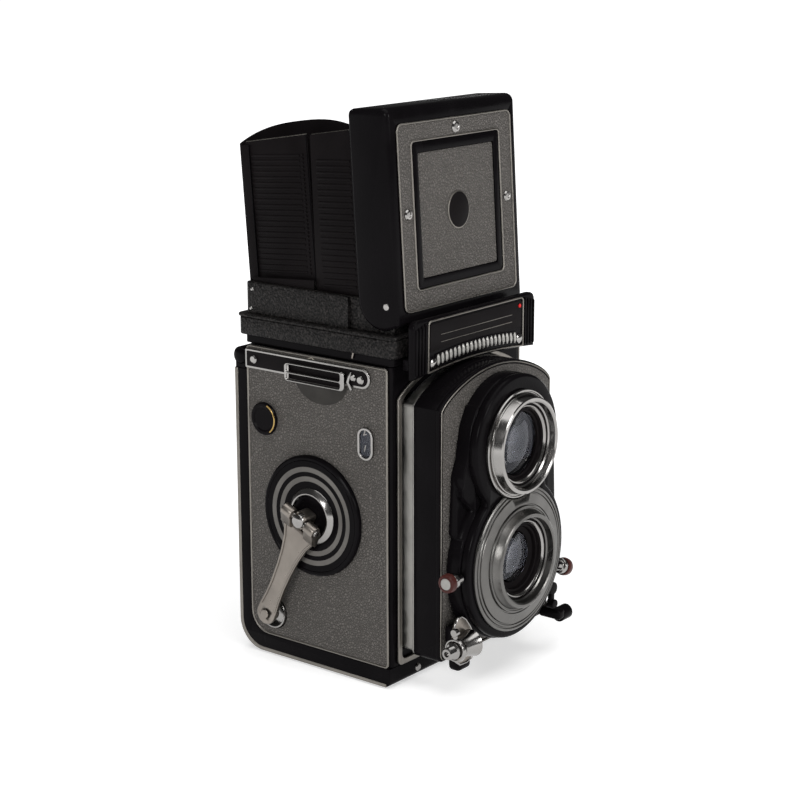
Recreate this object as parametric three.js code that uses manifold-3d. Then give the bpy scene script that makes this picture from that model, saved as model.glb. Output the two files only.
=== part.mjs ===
// Twin lens reflex camera for 6 x 6 cm roll film, with its hood open.
// Millimetres, +Z up. The lenses look towards -Y, the winding crank is on the -X side.
import * as THREE from 'three';
import { mergeVertices } from 'three/addons/utils/BufferGeometryUtils.js';
import Module from 'manifold-3d';

const wasm = await Module();
wasm.setup();

// ---- driving dimensions -------------------------------------------------------------------
const GAP = 0.3; // clearance between pieces that touch
const HALF_WIDTH = 39; // body, side face to centre
const DEPTH = 71.3; // body, front face to back
const FLOOR = 7.3; // underside of the casting, inside the hinged back
const TOP = 115.8; // top of the body
const WALL = 4.2; // casting side wall
const FOOT = 0.7; // feet below the back
const COVER = 0.8; // leather-covered side plate
const LENS_Z = { taking: 43.9, viewing: 85.9 };
const BOARD = { half: 33, front: -17.3, back: -5.9, bottom: 11.8, shoulder: 104, crown: 113.9 };
const LENS_FRONT = -32; // front rim of both lens mounts
const CRANK = { y: 34.4, z: 57.4, disc: 22.2, hub: 9.8, pinX: -46.5, armLength: 44.5 };
const CRANK_LEAN = THREE.MathUtils.degToRad(26); // arm at rest, from straight down to the rear
const TAKEUP = { y: 57, z: 89.5 };
const SUPPLY = { y: 24, z: 18.5 };
const SPOOL = { r: 12, half: 32.3, core: 5 };
const KNOB_R = 8.5;
const FOCUS = { y: 22, z: 57.4, r: 18.5, reach: 16 };
const HINGE = { y: 68.9, z: 110.9, r: 3.4 };
const GATE_Y = 60.4; // film plane
const ROLLER = { y: 63.4, r: 2.3, high: 74.8, low: 12.2 };
const MIRROR_RISE = 52; // 45 degree mirror: z = y + rise
const HOOD = { bottom: 116.1, lip: 126.6, top: 138, half: 36.4, well: 33.5, floor: 119.6 };
const LID = { y: 3, z: 136.5, half: 36.4, cheek: 1.2, front: -4.6, back: 12.9, low: -8.7, high: 66.6 };
const LID_TILT = THREE.MathUtils.degToRad(-3.6);
const DOOR = { half: 22, low: 7.4, high: 51 };
const REAR_PLATE = { y: 68.2, z: 136, half: 32.3, height: 50.6, arch: 5.3 };
const REAR_TILT = THREE.MathUtils.degToRad(-4.4);
const LEAF = { rear: 31.2, front: 32.85, thick: 0.8 };

// ---- geometry helpers ---------------------------------------------------------------------
const X = new THREE.Vector3(1, 0, 0);
const Y = new THREE.Vector3(0, 1, 0);
const Z = new THREE.Vector3(0, 0, 1);
const BASIS = {
  x: new THREE.Matrix4().makeBasis(Y, Z, X), // outline (y, z), height along +X
  y: new THREE.Matrix4().makeBasis(Z, X, Y), // outline (z, x), height along +Y
  z: new THREE.Matrix4(), // outline (x, y), height along +Z
};

function toSolid(geometry) {
  const bare = geometry.index ? geometry.toNonIndexed() : geometry.clone();
  bare.deleteAttribute('normal');
  bare.deleteAttribute('uv');
  const merged = mergeVertices(bare, 1e-5);
  return new wasm.Manifold(new wasm.Mesh({
    numProp: 3,
    vertProperties: Float32Array.from(merged.attributes.position.array),
    triVerts: Uint32Array.from(merged.index.array),
  }));
}

function toGeometry(body) {
  const mesh = body.getMesh();
  const geometry = new THREE.BufferGeometry();
  geometry.setAttribute('position', new THREE.BufferAttribute(mesh.vertProperties, 3));
  geometry.setIndex(new THREE.BufferAttribute(mesh.triVerts, 1));
  geometry.computeVertexNormals();
  return geometry;
}

// A box from its low and high corners.
function box([x0, x1], [y0, y1], [z0, z1]) {
  const geometry = new THREE.BoxGeometry(x1 - x0, y1 - y0, z1 - z0);
  return toSolid(geometry.translate((x0 + x1) / 2, (y0 + y1) / 2, (z0 + z1) / 2));
}

// An outline extruded along an axis from one place to another.
function prism(axis, outline, from, to) {
  const points = outline instanceof THREE.Shape ? [] : outline.map(([a, b]) => new THREE.Vector2(a, b));
  const shape = outline instanceof THREE.Shape ? outline : new THREE.Shape(points);
  const settings = { depth: to - from, bevelEnabled: false, curveSegments: 6 };
  const geometry = new THREE.ExtrudeGeometry(shape, settings);
  geometry.translate(0, 0, from).applyMatrix4(BASIS[axis]);
  return toSolid(geometry);
}

// A turned piece: profile of [radius, height] along an axis, centred on the two other coordinates.
function turned(axis, profile, at, segments = 24) {
  const points = profile.map(([r, h]) => new THREE.Vector2(r, h));
  if (THREE.ShapeUtils.isClockWise(points)) points.reverse();
  const geometry = new THREE.LatheGeometry(points, segments).rotateX(Math.PI / 2);
  geometry.applyMatrix4(BASIS[axis]).translate(...at);
  return toSolid(geometry);
}

function rod(axis, r, from, to, at, segments = 24) {
  return turned(axis, [[0, from], [r, from], [r, to], [0, to]], at, segments);
}

function ring(axis, inner, outer, from, to, at, segments = 32) {
  return turned(axis, [[inner, from], [outer, from], [outer, to], [inner, to], [inner, from]], at, segments);
}

function bothSides(solid) {
  return solid.add(solid.mirror([1, 0, 0]));
}

function roundedRect(a0, a1, b0, b1, r) {
  const shape = new THREE.Shape();
  shape.moveTo(a0 + r, b0);
  shape.lineTo(a1 - r, b0).absarc(a1 - r, b0 + r, r, -Math.PI / 2, 0);
  shape.lineTo(a1, b1 - r).absarc(a1 - r, b1 - r, r, 0, Math.PI / 2);
  shape.lineTo(a0 + r, b1).absarc(a0 + r, b1 - r, r, Math.PI / 2, Math.PI);
  shape.lineTo(a0, b0 + r).absarc(a0 + r, b0 + r, r, Math.PI, 1.5 * Math.PI);
  return shape;
}

// A front view outline (x across, z up) with a shallow arch along its top.
function archedOutline(half, bottom, shoulder, crown, r = 2) {
  const points = [[bottom, -half + r], [bottom, half - r], [bottom + r, half]];
  const steps = 12;
  for (let i = 0; i <= steps; i += 1) {
    const x = half - (2 * half * i) / steps;
    points.push([shoulder + (crown - shoulder) * (1 - (x / half) ** 2), x]);
  }
  points.push([bottom + r, -half]);
  return points;
}

// ---- the assembly -------------------------------------------------------------------------
const camera = new THREE.Group();

const FINISH = {
  lacquer: { color: 0x0c0c0d, roughness: 0.25, metalness: 0.2 },
  crinkle: { color: 0x1a1a1a, roughness: 0.7, metalness: 0.2 },
  leather: { color: 0x5e5b55, roughness: 0.75, metalness: 0.0 },
  chrome: { color: 0xc8c6c2, roughness: 0.2, metalness: 1.0 },
  satin: { color: 0xa8a6a1, roughness: 0.4, metalness: 1.0 },
  glass: { color: 0x30302c, roughness: 0.05, metalness: 0.0 },
  plastic: { color: 0x232323, roughness: 0.5, metalness: 0.0 },
  brass: { color: 0xa98a4c, roughness: 0.35, metalness: 1.0 },
};

function piece(name, finish, solid, parent = camera) {
  const mesh = new THREE.Mesh(toGeometry(solid), new THREE.MeshStandardMaterial(FINISH[finish]));
  mesh.name = name;
  parent.add(mesh);
  return mesh;
}

const FULL = [-100, 100];
const CASTING_HALF = HALF_WIDTH - COVER - GAP;
const INNER_HALF = CASTING_HALF - WALL + 0.2;

// ---- body casting: spool chambers, film gate, dark chamber and mirror box --------------------
function bodyCasting() {
  const outside = prism('z', roundedRect(-CASTING_HALF, CASTING_HALF, 0, 65.2, 1.5), FLOOR, TOP);
  const span = [-INNER_HALF, INNER_HALF];
  const spoolRoom = SPOOL.r + 0.6;
  const cuts = [
    box(span, [GATE_Y + 0.4, 70], [9, 106]),
    rod('x', spoolRoom, ...span, [0, TAKEUP.y, TAKEUP.z]),
    rod('x', spoolRoom, ...span, [0, SUPPLY.y, SUPPLY.z]),
    box(span, [SUPPLY.y - spoolRoom, SUPPLY.y + spoolRoom], [0, SUPPLY.z]),
    box(span, [SUPPLY.y, 70], [0, 13]),
    prism('x', [
      [7.9, 31], [36, 33], [48, 16], [GATE_Y + 1, 16], [GATE_Y + 1, 72], [23, 72], [7.9, 57],
    ], -28, 28),
    prism('x', [[7.9, MIRROR_RISE + 8], [60, MIRROR_RISE + 60], [60, 120], [7.9, 120]], -27.5, 27.5),
    box([-32.6, 32.6], [-1, 8], [12.6, 105.6]),
    rod('x', 1.4, -INNER_HALF - 1.8, INNER_HALF + 1.8, [0, ROLLER.y, ROLLER.high], 12),
    rod('x', 1.4, -INNER_HALF - 1.8, INNER_HALF + 1.8, [0, ROLLER.y, ROLLER.low], 12),
    rod('x', 14, -45, -36.4, [0, 22.5, 88]),
    rod('x', 3.4, -45, -INNER_HALF + 1, [0, CRANK.y, CRANK.z]),
    rod('x', 2.6, -45, 0, [0, TAKEUP.y, TAKEUP.z], 12),
    rod('x', 2.6, 0, 45, [0, TAKEUP.y, TAKEUP.z], 12),
    rod('x', 2.6, 0, 45, [0, SUPPLY.y, SUPPLY.z], 12),
    rod('x', 3.4, 34, 45, [0, FOCUS.y, FOCUS.z]),
    rod('x', 6.4, -45, -36.2, [0, 54.6, 16.4]),
  ];
  const body = cuts.reduce((rest, cut) => rest.subtract(cut), outside);
  const hingeBarrel = rod('x', HINGE.r, -18, 18, [0, HINGE.y, HINGE.z])
    .add(box([-18, 18], [64, HINGE.y], [108, 113.5]))
    .subtract(rod('x', 1.6, -20, 20, [0, HINGE.y, HINGE.z], 12));
  return body.add(hingeBarrel);
}
piece('body_casting', 'lacquer', bodyCasting());

// ---- side plates ----------------------------------------------------------------------------
function sidePlate(side, holes) {
  const plate = prism('x', roundedRect(1.2, 65.2, FLOOR, TOP, 1), HALF_WIDTH - COVER, HALF_WIDTH);
  const cut = holes.reduce((rest, [r, y, z]) => rest.subtract(rod('x', r, 30, 45, [0, y, z], 20)), plate);
  return side > 0 ? cut : cut.mirror([1, 0, 0]);
}
piece('side_plate_left', 'leather', sidePlate(-1, [
  [3.4, CRANK.y, CRANK.z], [2.6, TAKEUP.y, TAKEUP.z], [6.4, 54.6, 16.4],
]).subtract(box([-45, -35], [7.2, 12.8], [82.6, 93.2])));
piece('side_plate_right', 'leather', sidePlate(1, [
  [2.6, TAKEUP.y, TAKEUP.z], [2.6, SUPPLY.y, SUPPLY.z], [3.4, FOCUS.y, FOCUS.z],
]));

// Strap plates: a flat bar with a raised, twice slotted lug.
function strapPlate(side) {
  const from = HALF_WIDTH + GAP;
  const bar = prism('x', roundedRect(7.8, 64, 107.5, 114.5, 3), from, from + 0.9);
  const lug = prism('x', roundedRect(17, 45, 105.8, 112.4, 1.5), from, from + 2.7)
    .subtract(box(FULL, [19, 30], [107, 109]))
    .subtract(box(FULL, [32, 43], [107, 109]))
    .subtract(box([from - 1, from + 1.4], [18, 44], [106.5, 111.5]));
  const open = bar.subtract(box(FULL, [18, 44], [106.5, 109.4]));
  return side > 0 ? open.add(lug) : open.add(lug).mirror([1, 0, 0]);
}
piece('strap_plate_left', 'chrome', strapPlate(-1));
piece('strap_plate_right', 'chrome', strapPlate(1));

// ---- crank side furniture --------------------------------------------------------------------
const onLeft = -HALF_WIDTH - GAP; // faces out to -X
piece('crank_disc', 'lacquer', turned('x', [
  [CRANK.hub + 0.6, onLeft], [CRANK.hub + 0.6, onLeft - 1.1], [CRANK.disc - 1.4, onLeft - 1.7],
  [CRANK.disc, onLeft - 0.6], [CRANK.disc, onLeft], [CRANK.hub + 0.6, onLeft],
], [0, CRANK.y, CRANK.z], 40));

piece('crank_well', 'chrome', turned('x', [
  [0, -36.5], [6.1, -36.5], [6.1, -39.8], [5.2, -39.8], [5.2, -37.3], [0, -37.3],
], [0, 54.6, 16.4], 24));

piece('spool_axle_cap', 'lacquer', turned('x', [
  [0, -27.5], [2.2, -27.5], [2.2, onLeft], [6.1, onLeft],
  [6.1, onLeft - 0.5], [4.9, onLeft - 0.9], [0, onLeft - 0.9],
], [0, TAKEUP.y, TAKEUP.z], 20));

piece('counter_window', 'glass', prism('x', roundedRect(6.9, 13.1, 82.3, 93.5, 3), onLeft - 0.6, onLeft));
piece('counter_dial', 'plastic', turned('x', [
  [0, -37.8], [13.4, -37.8], [13.4, -36.9], [0, -36.9],
], [0, 22.5, 88], 24));

// ---- winding crank -----------------------------------------------------------------------------
// Local frame: u points along the arm, t along the hinge pin, both in the side plane.
const crankFrame = new THREE.Group();
crankFrame.position.set(0, CRANK.y, CRANK.z);
crankFrame.rotation.x = CRANK_LEAN; // local -Z runs down the arm
camera.add(crankFrame);

const HUB_TOP = -42;
piece('crank_hub', 'chrome', turned('x', [
  [0, -35.5], [3, -35.5], [3, onLeft], [CRANK.hub, onLeft],
  [CRANK.hub, HUB_TOP + 1], [CRANK.hub - 1.2, HUB_TOP],
  [7, HUB_TOP], [6.4, HUB_TOP + 0.8], [0, HUB_TOP + 0.8],
], [0, 0, 0], 32)
  .add(box([-48.6, HUB_TOP + 1.5], [-3, 3], [-3.2, 3.2]))
  .subtract(rod('y', 1.5, -10, 10, [CRANK.pinX, 0, 0], 16)), crankFrame);

piece('crank_pin', 'satin', rod('y', 1.2, -8.4, 8.4, [CRANK.pinX, 0, 0], 16), crankFrame);

function crankArm() {
  const half = [[-3.5, 8], [-12, 6.6], [-25, 4.6], [-38, 4.2], [-CRANK.armLength, 4.1]];
  const down = half.map(([z, y]) => [y, z]);
  const tip = [];
  for (let i = 1; i < 6; i += 1) {
    const turn = (Math.PI * i) / 6;
    tip.push([4.1 * Math.cos(turn), -CRANK.armLength - 4.1 * Math.sin(turn)]);
  }
  const up = down.map(([y, z]) => [-y, z]).reverse();
  const blade = prism('x', [...down, ...tip, ...up], -44.3, -42.6)
    .subtract(box([-50, -40], [-3.3, 3.3], [-4.3, 5]));
  const ear = (from, to) => rod('y', 2.2, from, to, [CRANK.pinX, 0, 0], 16)
    .add(box([-46.5, -42.6], [from, to], [-4.6, 0]))
    .add(box([-46.5, -42.6], [from, to], [-6, -3.5]));
  return blade.add(ear(3.4, 8)).add(ear(-8, -3.4))
    .subtract(rod('y', 1.5, -10, 10, [CRANK.pinX, 0, 0], 16))
    .subtract(rod('x', 1.5, -50, -40, [0, 0, -CRANK.armLength], 16));
}
piece('crank_arm', 'satin', crankArm(), crankFrame);

piece('crank_knob', 'satin', turned('x', [
  [0, -40.3], [3.2, -40.3], [3.4, -40.6], [3.4, -42.3], [1.2, -42.3],
  [1.2, -44.6], [2.3, -44.6], [2.1, -45.2], [0, -45.2],
], [0, 0, -CRANK.armLength], 20), crankFrame);

// ---- film transport ----------------------------------------------------------------------------
function spool(at) {
  const { r, half, core } = SPOOL;
  const profile = [[2.5, -half], [r, -half], [r, 1 - half], [core, 1 - half], [core, half - 1],
    [r, half - 1], [r, half], [2.5, half], [2.5, -half]];
  return turned('x', profile, [0, at.y, at.z], 24);
}
piece('takeup_spool', 'plastic', spool(TAKEUP));
piece('supply_spool', 'plastic', spool(SUPPLY));

for (const [name, z] of [['upper_film_roller', ROLLER.high], ['lower_film_roller', ROLLER.low]]) {
  const end = INNER_HALF + 1.4;
  piece(name, 'chrome', turned('x', [
    [0, -end], [1, -end], [1, -31], [ROLLER.r, -31], [ROLLER.r, 31], [1, 31], [1, end], [0, end],
  ], [0, ROLLER.y, z], 16));
}

// Pull knobs on the right hold the spools by their keyed shafts.
function spoolKnob(at) {
  const base = HALF_WIDTH + GAP;
  return turned('x', [
    [0, 27.5], [2.2, 27.5], [2.2, base], [KNOB_R, base], [KNOB_R, base + 3.6], [KNOB_R - 1, base + 4.4],
    [3.5, base + 4.4], [0, base + 4.4],
  ], [0, at.y, at.z], 28);
}
piece('takeup_spool_knob', 'satin', spoolKnob(TAKEUP));
piece('supply_spool_knob', 'satin', spoolKnob(SUPPLY));

const focusBase = HALF_WIDTH + GAP;
piece('focus_knob', 'satin', turned('x', [
  [0, 35], [3, 35], [3, focusBase], [FOCUS.r - 2, focusBase], [FOCUS.r - 2, focusBase + 5],
  [FOCUS.r, focusBase + 5], [FOCUS.r, focusBase + FOCUS.reach - 2],
  [FOCUS.r - 2, focusBase + FOCUS.reach], [FOCUS.r - 4, focusBase + FOCUS.reach],
  [FOCUS.r - 4.5, focusBase + FOCUS.reach - 0.8], [0, focusBase + FOCUS.reach - 0.8],
], [0, FOCUS.y, FOCUS.z], 40));

// ---- viewing path --------------------------------------------------------------------------------
const mirrorLow = MIRROR_RISE + GAP * 1.5;
piece('mirror', 'glass', prism('x', [
  [8.3, mirrorLow + 8.3], [58, mirrorLow + 58], [56.7, mirrorLow + 59.3], [8.3, mirrorLow + 10.9],
], -27.2, 27.2));
piece('focusing_screen', 'glass', box([-28.6, 28.6], [6.8, 62.6], [TOP + GAP, TOP + GAP + 1.5]));

// ---- front frame, standard and lenses ----------------------------------------------------------
piece('front_bezel', 'satin', prism('y', archedOutline(35.3, 7.6, 106, 115.6), -1.3, -GAP)
  .subtract(prism('y', archedOutline(33.4, 9.6, 104.5, 114.3), -5, 5)));

function lensBoard() {
  const { half, front, back, bottom, shoulder, crown } = BOARD;
  const shell = prism('y', archedOutline(half, bottom, shoulder, crown), front, back)
    .subtract(prism('y', archedOutline(
      half - 1.6, bottom + 1.6, shoulder - 1.6, crown - 1.8,
    ), front + 2, back + 1));
  const sleeve = box([-32.2, 32.2], [back - 2, 2.6], [bottom + 1.1, 102.8])
    .subtract(box([-31, 31], [back - 3, 3], [bottom + 2.3, 101.6]));
  return shell.add(sleeve)
    .subtract(rod('y', 22.4, front - 1, front + 3, [0, 0, LENS_Z.taking], 40))
    .subtract(rod('y', 17, front - 1, front + 3, [0, 0, LENS_Z.viewing], 32));
}
piece('lens_board', 'lacquer', lensBoard());

const HOUSING_FRONT = -26.6;
// Raised casting that carries both lenses: two discs joined by a waist.
function lensHousing() {
  const from = HOUSING_FRONT;
  const to = BOARD.front - GAP;
  const waist = prism('y', [
    [60, -28.7], [60, 28.7], [79, 27.4], [88, 24.4], [88, -24.4], [79, -27.4],
  ], from, to);
  return rod('y', 29.9, from, to, [0, 0, LENS_Z.taking], 44)
    .add(rod('y', 24.6, from, to, [0, 0, LENS_Z.viewing], 40))
    .add(waist)
    .subtract(rod('y', 22.4, from - 1, to + 1, [0, 0, LENS_Z.taking], 40))
    .subtract(rod('y', 17, from - 1, to + 1, [0, 0, LENS_Z.viewing], 32));
}
piece('lens_housing', 'lacquer', lensHousing());

const VIEWING_RING = 19.4;
function lensMount(z, outer, barrel, segments) {
  const f = LENS_FRONT;
  const seat = HOUSING_FRONT - GAP;
  return turned('y', [
    [outer, seat], [outer, seat - 1.4], [outer - 1.6, seat - 1.8], [17.2, f + 1], [16.4, f], [15.4, f],
    [14.4, f + 3.6],
    [13.6, f + 3.6], [13.6, BOARD.front + 3], [barrel, BOARD.front + 3], [barrel, seat], [outer, seat],
  ], [0, 0, z], segments);
}
piece('viewing_mount', 'chrome', lensMount(LENS_Z.viewing, VIEWING_RING, 16.6, 40));
piece('taking_mount', 'satin', lensMount(LENS_Z.taking, 26.4, 16.6, 44)
  .subtract(rod('y', VIEWING_RING + GAP, -40, 0, [0, 0, LENS_Z.viewing], 40)));

function lensCell(z, f) {
  return turned('y', [
    [0, f - 1.2], [6, f - 0.9], [12, f], [13.2, f + 0.4], [13.2, f + 6], [0, f + 6],
  ], [0, 0, z], 28);
}
piece('viewing_lens', 'glass', lensCell(LENS_Z.viewing, -27.8));
piece('taking_lens', 'glass', lensCell(LENS_Z.taking, -26.8));

piece('shutter_body', 'satin', turned('y', [
  [0, BOARD.front + 3.4], [22, BOARD.front + 3.4], [22, -1.5], [12, -1.5], [12, 3], [0, 3],
], [0, 0, LENS_Z.taking], 32));

// ---- controls on the front standard ----------------------------------------------------------------
// Levers swing round the taking lens, close outside the housing.
const LEVER_Y = -23.9;
function ringLever(side, angle) {
  const bar = box([30.4, 34.4], [LEVER_Y - 2.3, LEVER_Y + 2.3], [-1.8, 1.8])
    .add(rod('x', 2.4, 34, 36.2, [0, LEVER_Y, 0], 16))
    .add(rod('x', 3, 36, 38.6, [0, LEVER_Y, 0], 16));
  return bar.rotate([0, side > 0 ? -angle : 180 - angle, 0]).translate([0, 0, LENS_Z.taking]);
}
piece('speed_lever', 'plastic', ringLever(-1, 0));
piece('aperture_lever', 'plastic', ringLever(1, -21));

const RELEASE = { y: -25.4, z: 19.2 };
const plateOutline = [
  [11, -24], [11.6, -29], [15, -31.6], [22, -31.9], [28.6, -30], [28.2, -26],
  [22, -21.4], [16.5, -20.6], [13, -21.6],
];
piece('release_plate', 'chrome', prism('y', plateOutline, -22.8, -21.8)
  .add(box([-30.4, -23], [-22, BOARD.front - GAP], [13.4, 24.5]))
  .add(box([-31.8, -29], [-28.4, -22.5], [16.2, 22.2]))
  .subtract(rod('x', 2.5, -40, -24, [0, RELEASE.y, RELEASE.z], 16)));
piece('release_button', 'chrome', turned('x', [
  [0, -38.4], [0.9, -38.4], [0.9, -39.6], [2.2, -39.6], [2.2, -36.4],
  [3.2, -36.4], [3.2, -34.4], [2.2, -34.4], [2.2, -28.4], [0, -28.4],
], [0, RELEASE.y, RELEASE.z], 18));
piece('release_lock_lever', 'chrome', ring('x', 3.5, 4.6, -35.6, -33.6, [0, RELEASE.y, RELEASE.z], 20)
  .add(box([-35.6, -33.6], [RELEASE.y - 1.6, RELEASE.y + 1.6], [RELEASE.z + 4, RELEASE.z + 8])));

piece('flash_socket', 'satin', ring('x', 1.6, 2.8, 31, 36.6, [0, -24, 12.8], 16)
  .add(box([27.5, 31.5], [-26.8, BOARD.front - GAP], [11.9, 15.6])));
const TIMER = { x: 27.5, high: 24, low: 18 };
piece('self_timer_lever', 'plastic', rod('y', 2.4, -24, BOARD.front - GAP, [TIMER.x, 0, TIMER.high], 16)
  .add(box([TIMER.x - 1.2, TIMER.x + 1.2], [-24, -22], [TIMER.low, TIMER.high]))
  .add(rod('y', 1.8, -25, -22, [TIMER.x, 0, TIMER.low], 14)));

// ---- hinged back -----------------------------------------------------------------------------------
function backDoor() {
  const outer = new THREE.Shape();
  const r = 11;
  outer.moveTo(3, 0);
  outer.lineTo(DEPTH - r, 0).absarc(DEPTH - r, r, r, -Math.PI / 2, 0);
  outer.lineTo(DEPTH, 106.6).lineTo(65.6, 106.6).lineTo(65.6, FLOOR - GAP).lineTo(0, FLOOR - GAP);
  outer.lineTo(0, 3).absarc(3, 3, 3, Math.PI, 1.5 * Math.PI);
  const room = INNER_HALF;
  const shell = prism('x', outer, -HALF_WIDTH, HALF_WIDTH)
    .subtract(prism('x', [
      [4, 1.7], [62, 1.7], [69.6, 9], [69.6, 104], [60, 104], [60, 8], [4, 8],
    ], -room, room));
  const barrels = bothSides(rod('x', HINGE.r, 18.4, 38.7, [0, HINGE.y, HINGE.z])
    .add(box([18.4, 38.7], [66.4, DEPTH], [105, HINGE.z]))
    .subtract(rod('x', 1.6, 10, 37.4, [0, HINGE.y, HINGE.z], 12)));
  const feet = [-31, 31].flatMap((x) => [8, 56].map((y) => rod('z', 2.6, -FOOT, 1, [x, y, 0], 16)));
  return [barrels, ...feet].reduce((all, next) => all.add(next), shell)
    .subtract(rod('z', 15.4, -5, 0.9, [0, 34, 0], 32))
    .subtract(rod('z', 5.4, -5, 5, [0, 34, 0], 20));
}
piece('back_door', 'lacquer', backDoor());
piece('back_hinge_pin', 'satin', rod('x', 1.25, -37, 37, [0, HINGE.y, HINGE.z], 12));
piece('pressure_plate', 'plastic', box([-30, 30], [GATE_Y + 2.6, GATE_Y + 4.2], [20, 68])
  .add(box([-8, 8], [GATE_Y + 4.2, 68.6], [38, 50])));

// Round lock plate turned by a folding bar, with the tripod bush in its middle.
piece('back_latch', 'satin', ring('z', 5.7, 15, -0.3, 0.5, [0, 34, 0], 32)
  .add(box([-14, -6.4], [32.5, 35.5], [-0.5, 0.2])));
piece('tripod_socket', 'brass', ring('z', 3.1, 5.1, -0.5, 5.6, [0, 34, 0], 24));

// ---- nameplate with the light meter window -----------------------------------------------------------
function nameplate() {
  const outline = [[114.3, 0], [113.6, 14], [112, 28], [112.2, 34], [114, 35.6], [130, 35.6], [132.3, 33.4],
    [132.3, -33.4], [130, -35.6], [114, -35.6], [112.2, -34], [112, -28], [113.6, -14]];
  return prism('y', outline, -8.6, -5.4)
    .add(box([-34, 34], [-5.5, -2], [114.8, 118.6]))
    .subtract(box([-24, 24], [-10, -7.6], [115.6, 121.4]));
}
piece('nameplate', 'lacquer', nameplate());
piece('meter_window', 'glass', box([-23.7, 23.7], [-9.2, -7.9], [115.9, 121.1]));

// ---- hood --------------------------------------------------------------------------------------------
function hoodBase() {
  const { bottom, lip, top, half, well, floor } = HOOD;
  const lower = prism('z', roundedRect(-38.6, 38.6, -1.7, 70, 2.5), 119, lip)
    .add(box([-38, 38], [-0.5, 66], [bottom, 119]));
  const upper = box([-half, half], [20, 68], [lip - 0.1, top])
    .add(box([-34.9, 34.9], [0.8, 20.5], [lip - 0.1, top]));
  return lower.add(upper)
    .subtract(box([-well, well], [2.4, 66.6], [floor, top + 1]))
    .subtract(box([-40, 40], [66, 75], [134.2, top + 1]))
    .subtract(box([-28.9, 28.9], [6.5, 62.9], [bottom - 1, floor + 1]))
    .subtract(rod('x', 1.5, -40, 40, [0, LID.y, LID.z], 14));
}
piece('hood_base', 'crinkle', hoodBase());

const lidFrame = new THREE.Group();
lidFrame.position.set(0, LID.y, LID.z);
lidFrame.rotation.x = LID_TILT;
camera.add(lidFrame);

function lid() {
  const { half, cheek, front, back, low, high } = LID;
  const inner = half - cheek;
  const side = new THREE.Shape();
  side.moveTo(front, low + 2).absarc(front + 2, low + 2, 2, Math.PI, 1.5 * Math.PI);
  side.lineTo(2, low).absarc(2, low + 10.9, 10.9, -Math.PI / 2, 0);
  side.lineTo(back, high - 3).absarc(back - 3, high - 3, 3, 0, Math.PI / 2);
  side.lineTo(front + 3, high).absarc(front + 3, high - 3, 3, Math.PI / 2, Math.PI);
  const pins = bothSides(rod('x', 1.2, 33.8, 35.8, [0, 0, 0], 14));
  return prism('x', side, -half, half)
    .subtract(box([-inner, inner], [front + cheek, back + 5], [low - 5, high - cheek]))
    .subtract(box([-DOOR.half - GAP, DOOR.half + GAP], [-10, 0], [DOOR.low - GAP, DOOR.high + GAP]))
    .add(pins);
}
piece('lid', 'lacquer', lid(), lidFrame);
piece('finder_door', 'leather', box(
  [-DOOR.half, DOOR.half], [LID.front, LID.front + 1.2], [DOOR.low, DOOR.high],
), lidFrame);

const LOUPE = { pivot: 48, lens: 20, r: 13 };
function loupeFrame() {
  const arms = [-11.5, 11.5].map((x) => box([x - 1.5, x + 1.5], [-2.6, -1], [LOUPE.lens, LOUPE.pivot]));
  return ring('y', 11.2, LOUPE.r, -2.6, 0, [0, 0, LOUPE.lens], 32)
    .add(arms[0]).add(arms[1])
    .add(rod('x', 1, -13, 13, [0, -1.8, LOUPE.pivot], 12))
    .subtract(rod('y', 11.2, -4, 2, [0, 0, LOUPE.lens], 32));
}
piece('magnifier_frame', 'plastic', loupeFrame(), lidFrame);
piece('magnifier_lens', 'glass', turned('y', [
  [0, -2.9], [6, -2.6], [10.8, -1.9], [10.8, -1.2], [6, -0.5], [0, -0.2],
], [0, 0, LOUPE.lens], 28), lidFrame);

// Folding side leaves. The front pair hangs on the lid, the rear pair on the rear wall.
for (const [name, side] of [['left', -1], ['right', 1]]) {
  const x = side * LEAF.front;
  const outline = [[13.6, 2.3], [32.4, 2.3], [32.4, 57.5], [13.6, 59.3]];
  const leaf = prism('x', outline, x - LEAF.thick / 2, x + LEAF.thick / 2);
  piece(`front_leaf_${name}`, 'lacquer', leaf, lidFrame);
}

const rearFrame = new THREE.Group();
rearFrame.position.set(0, REAR_PLATE.y, REAR_PLATE.z);
rearFrame.rotation.x = REAR_TILT;
camera.add(rearFrame);

function rearWall() {
  const { half, height, arch } = REAR_PLATE;
  const points = [[0.8, -half], [0.8, half], [height, half]];
  for (let i = 1; i < 8; i += 1) {
    const x = half - (2 * half * i) / 8;
    points.push([height + arch * (1 - (x / half) ** 2), x]);
  }
  points.push([height, -half]);
  return prism('y', points, 0, 0.9);
}
piece('hood_rear_wall', 'lacquer', rearWall(), rearFrame);
for (const [name, side] of [['left', -1], ['right', 1]]) {
  const x = side * LEAF.rear;
  const outline = [[-30.5, 2.2], [-1.3, 2.2], [-1.3, 51], [-30.5, 53.5]];
  const leaf = prism('x', outline, x - LEAF.thick / 2, x + LEAF.thick / 2);
  piece(`rear_leaf_${name}`, 'lacquer', leaf, rearFrame);
}

// ---- stand the camera on its feet, centred over the origin -----------------------------------------
camera.updateMatrixWorld(true);
const bounds = new THREE.Box3().setFromObject(camera, true);
const centre = bounds.getCenter(new THREE.Vector3());
camera.position.set(-centre.x, -centre.y, -bounds.min.z);

export default camera;
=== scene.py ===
"""Looks of a twin lens reflex camera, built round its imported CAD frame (Blender 4.5)."""
import math

import bmesh
import bpy
from mathutils import Matrix, Vector


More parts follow.
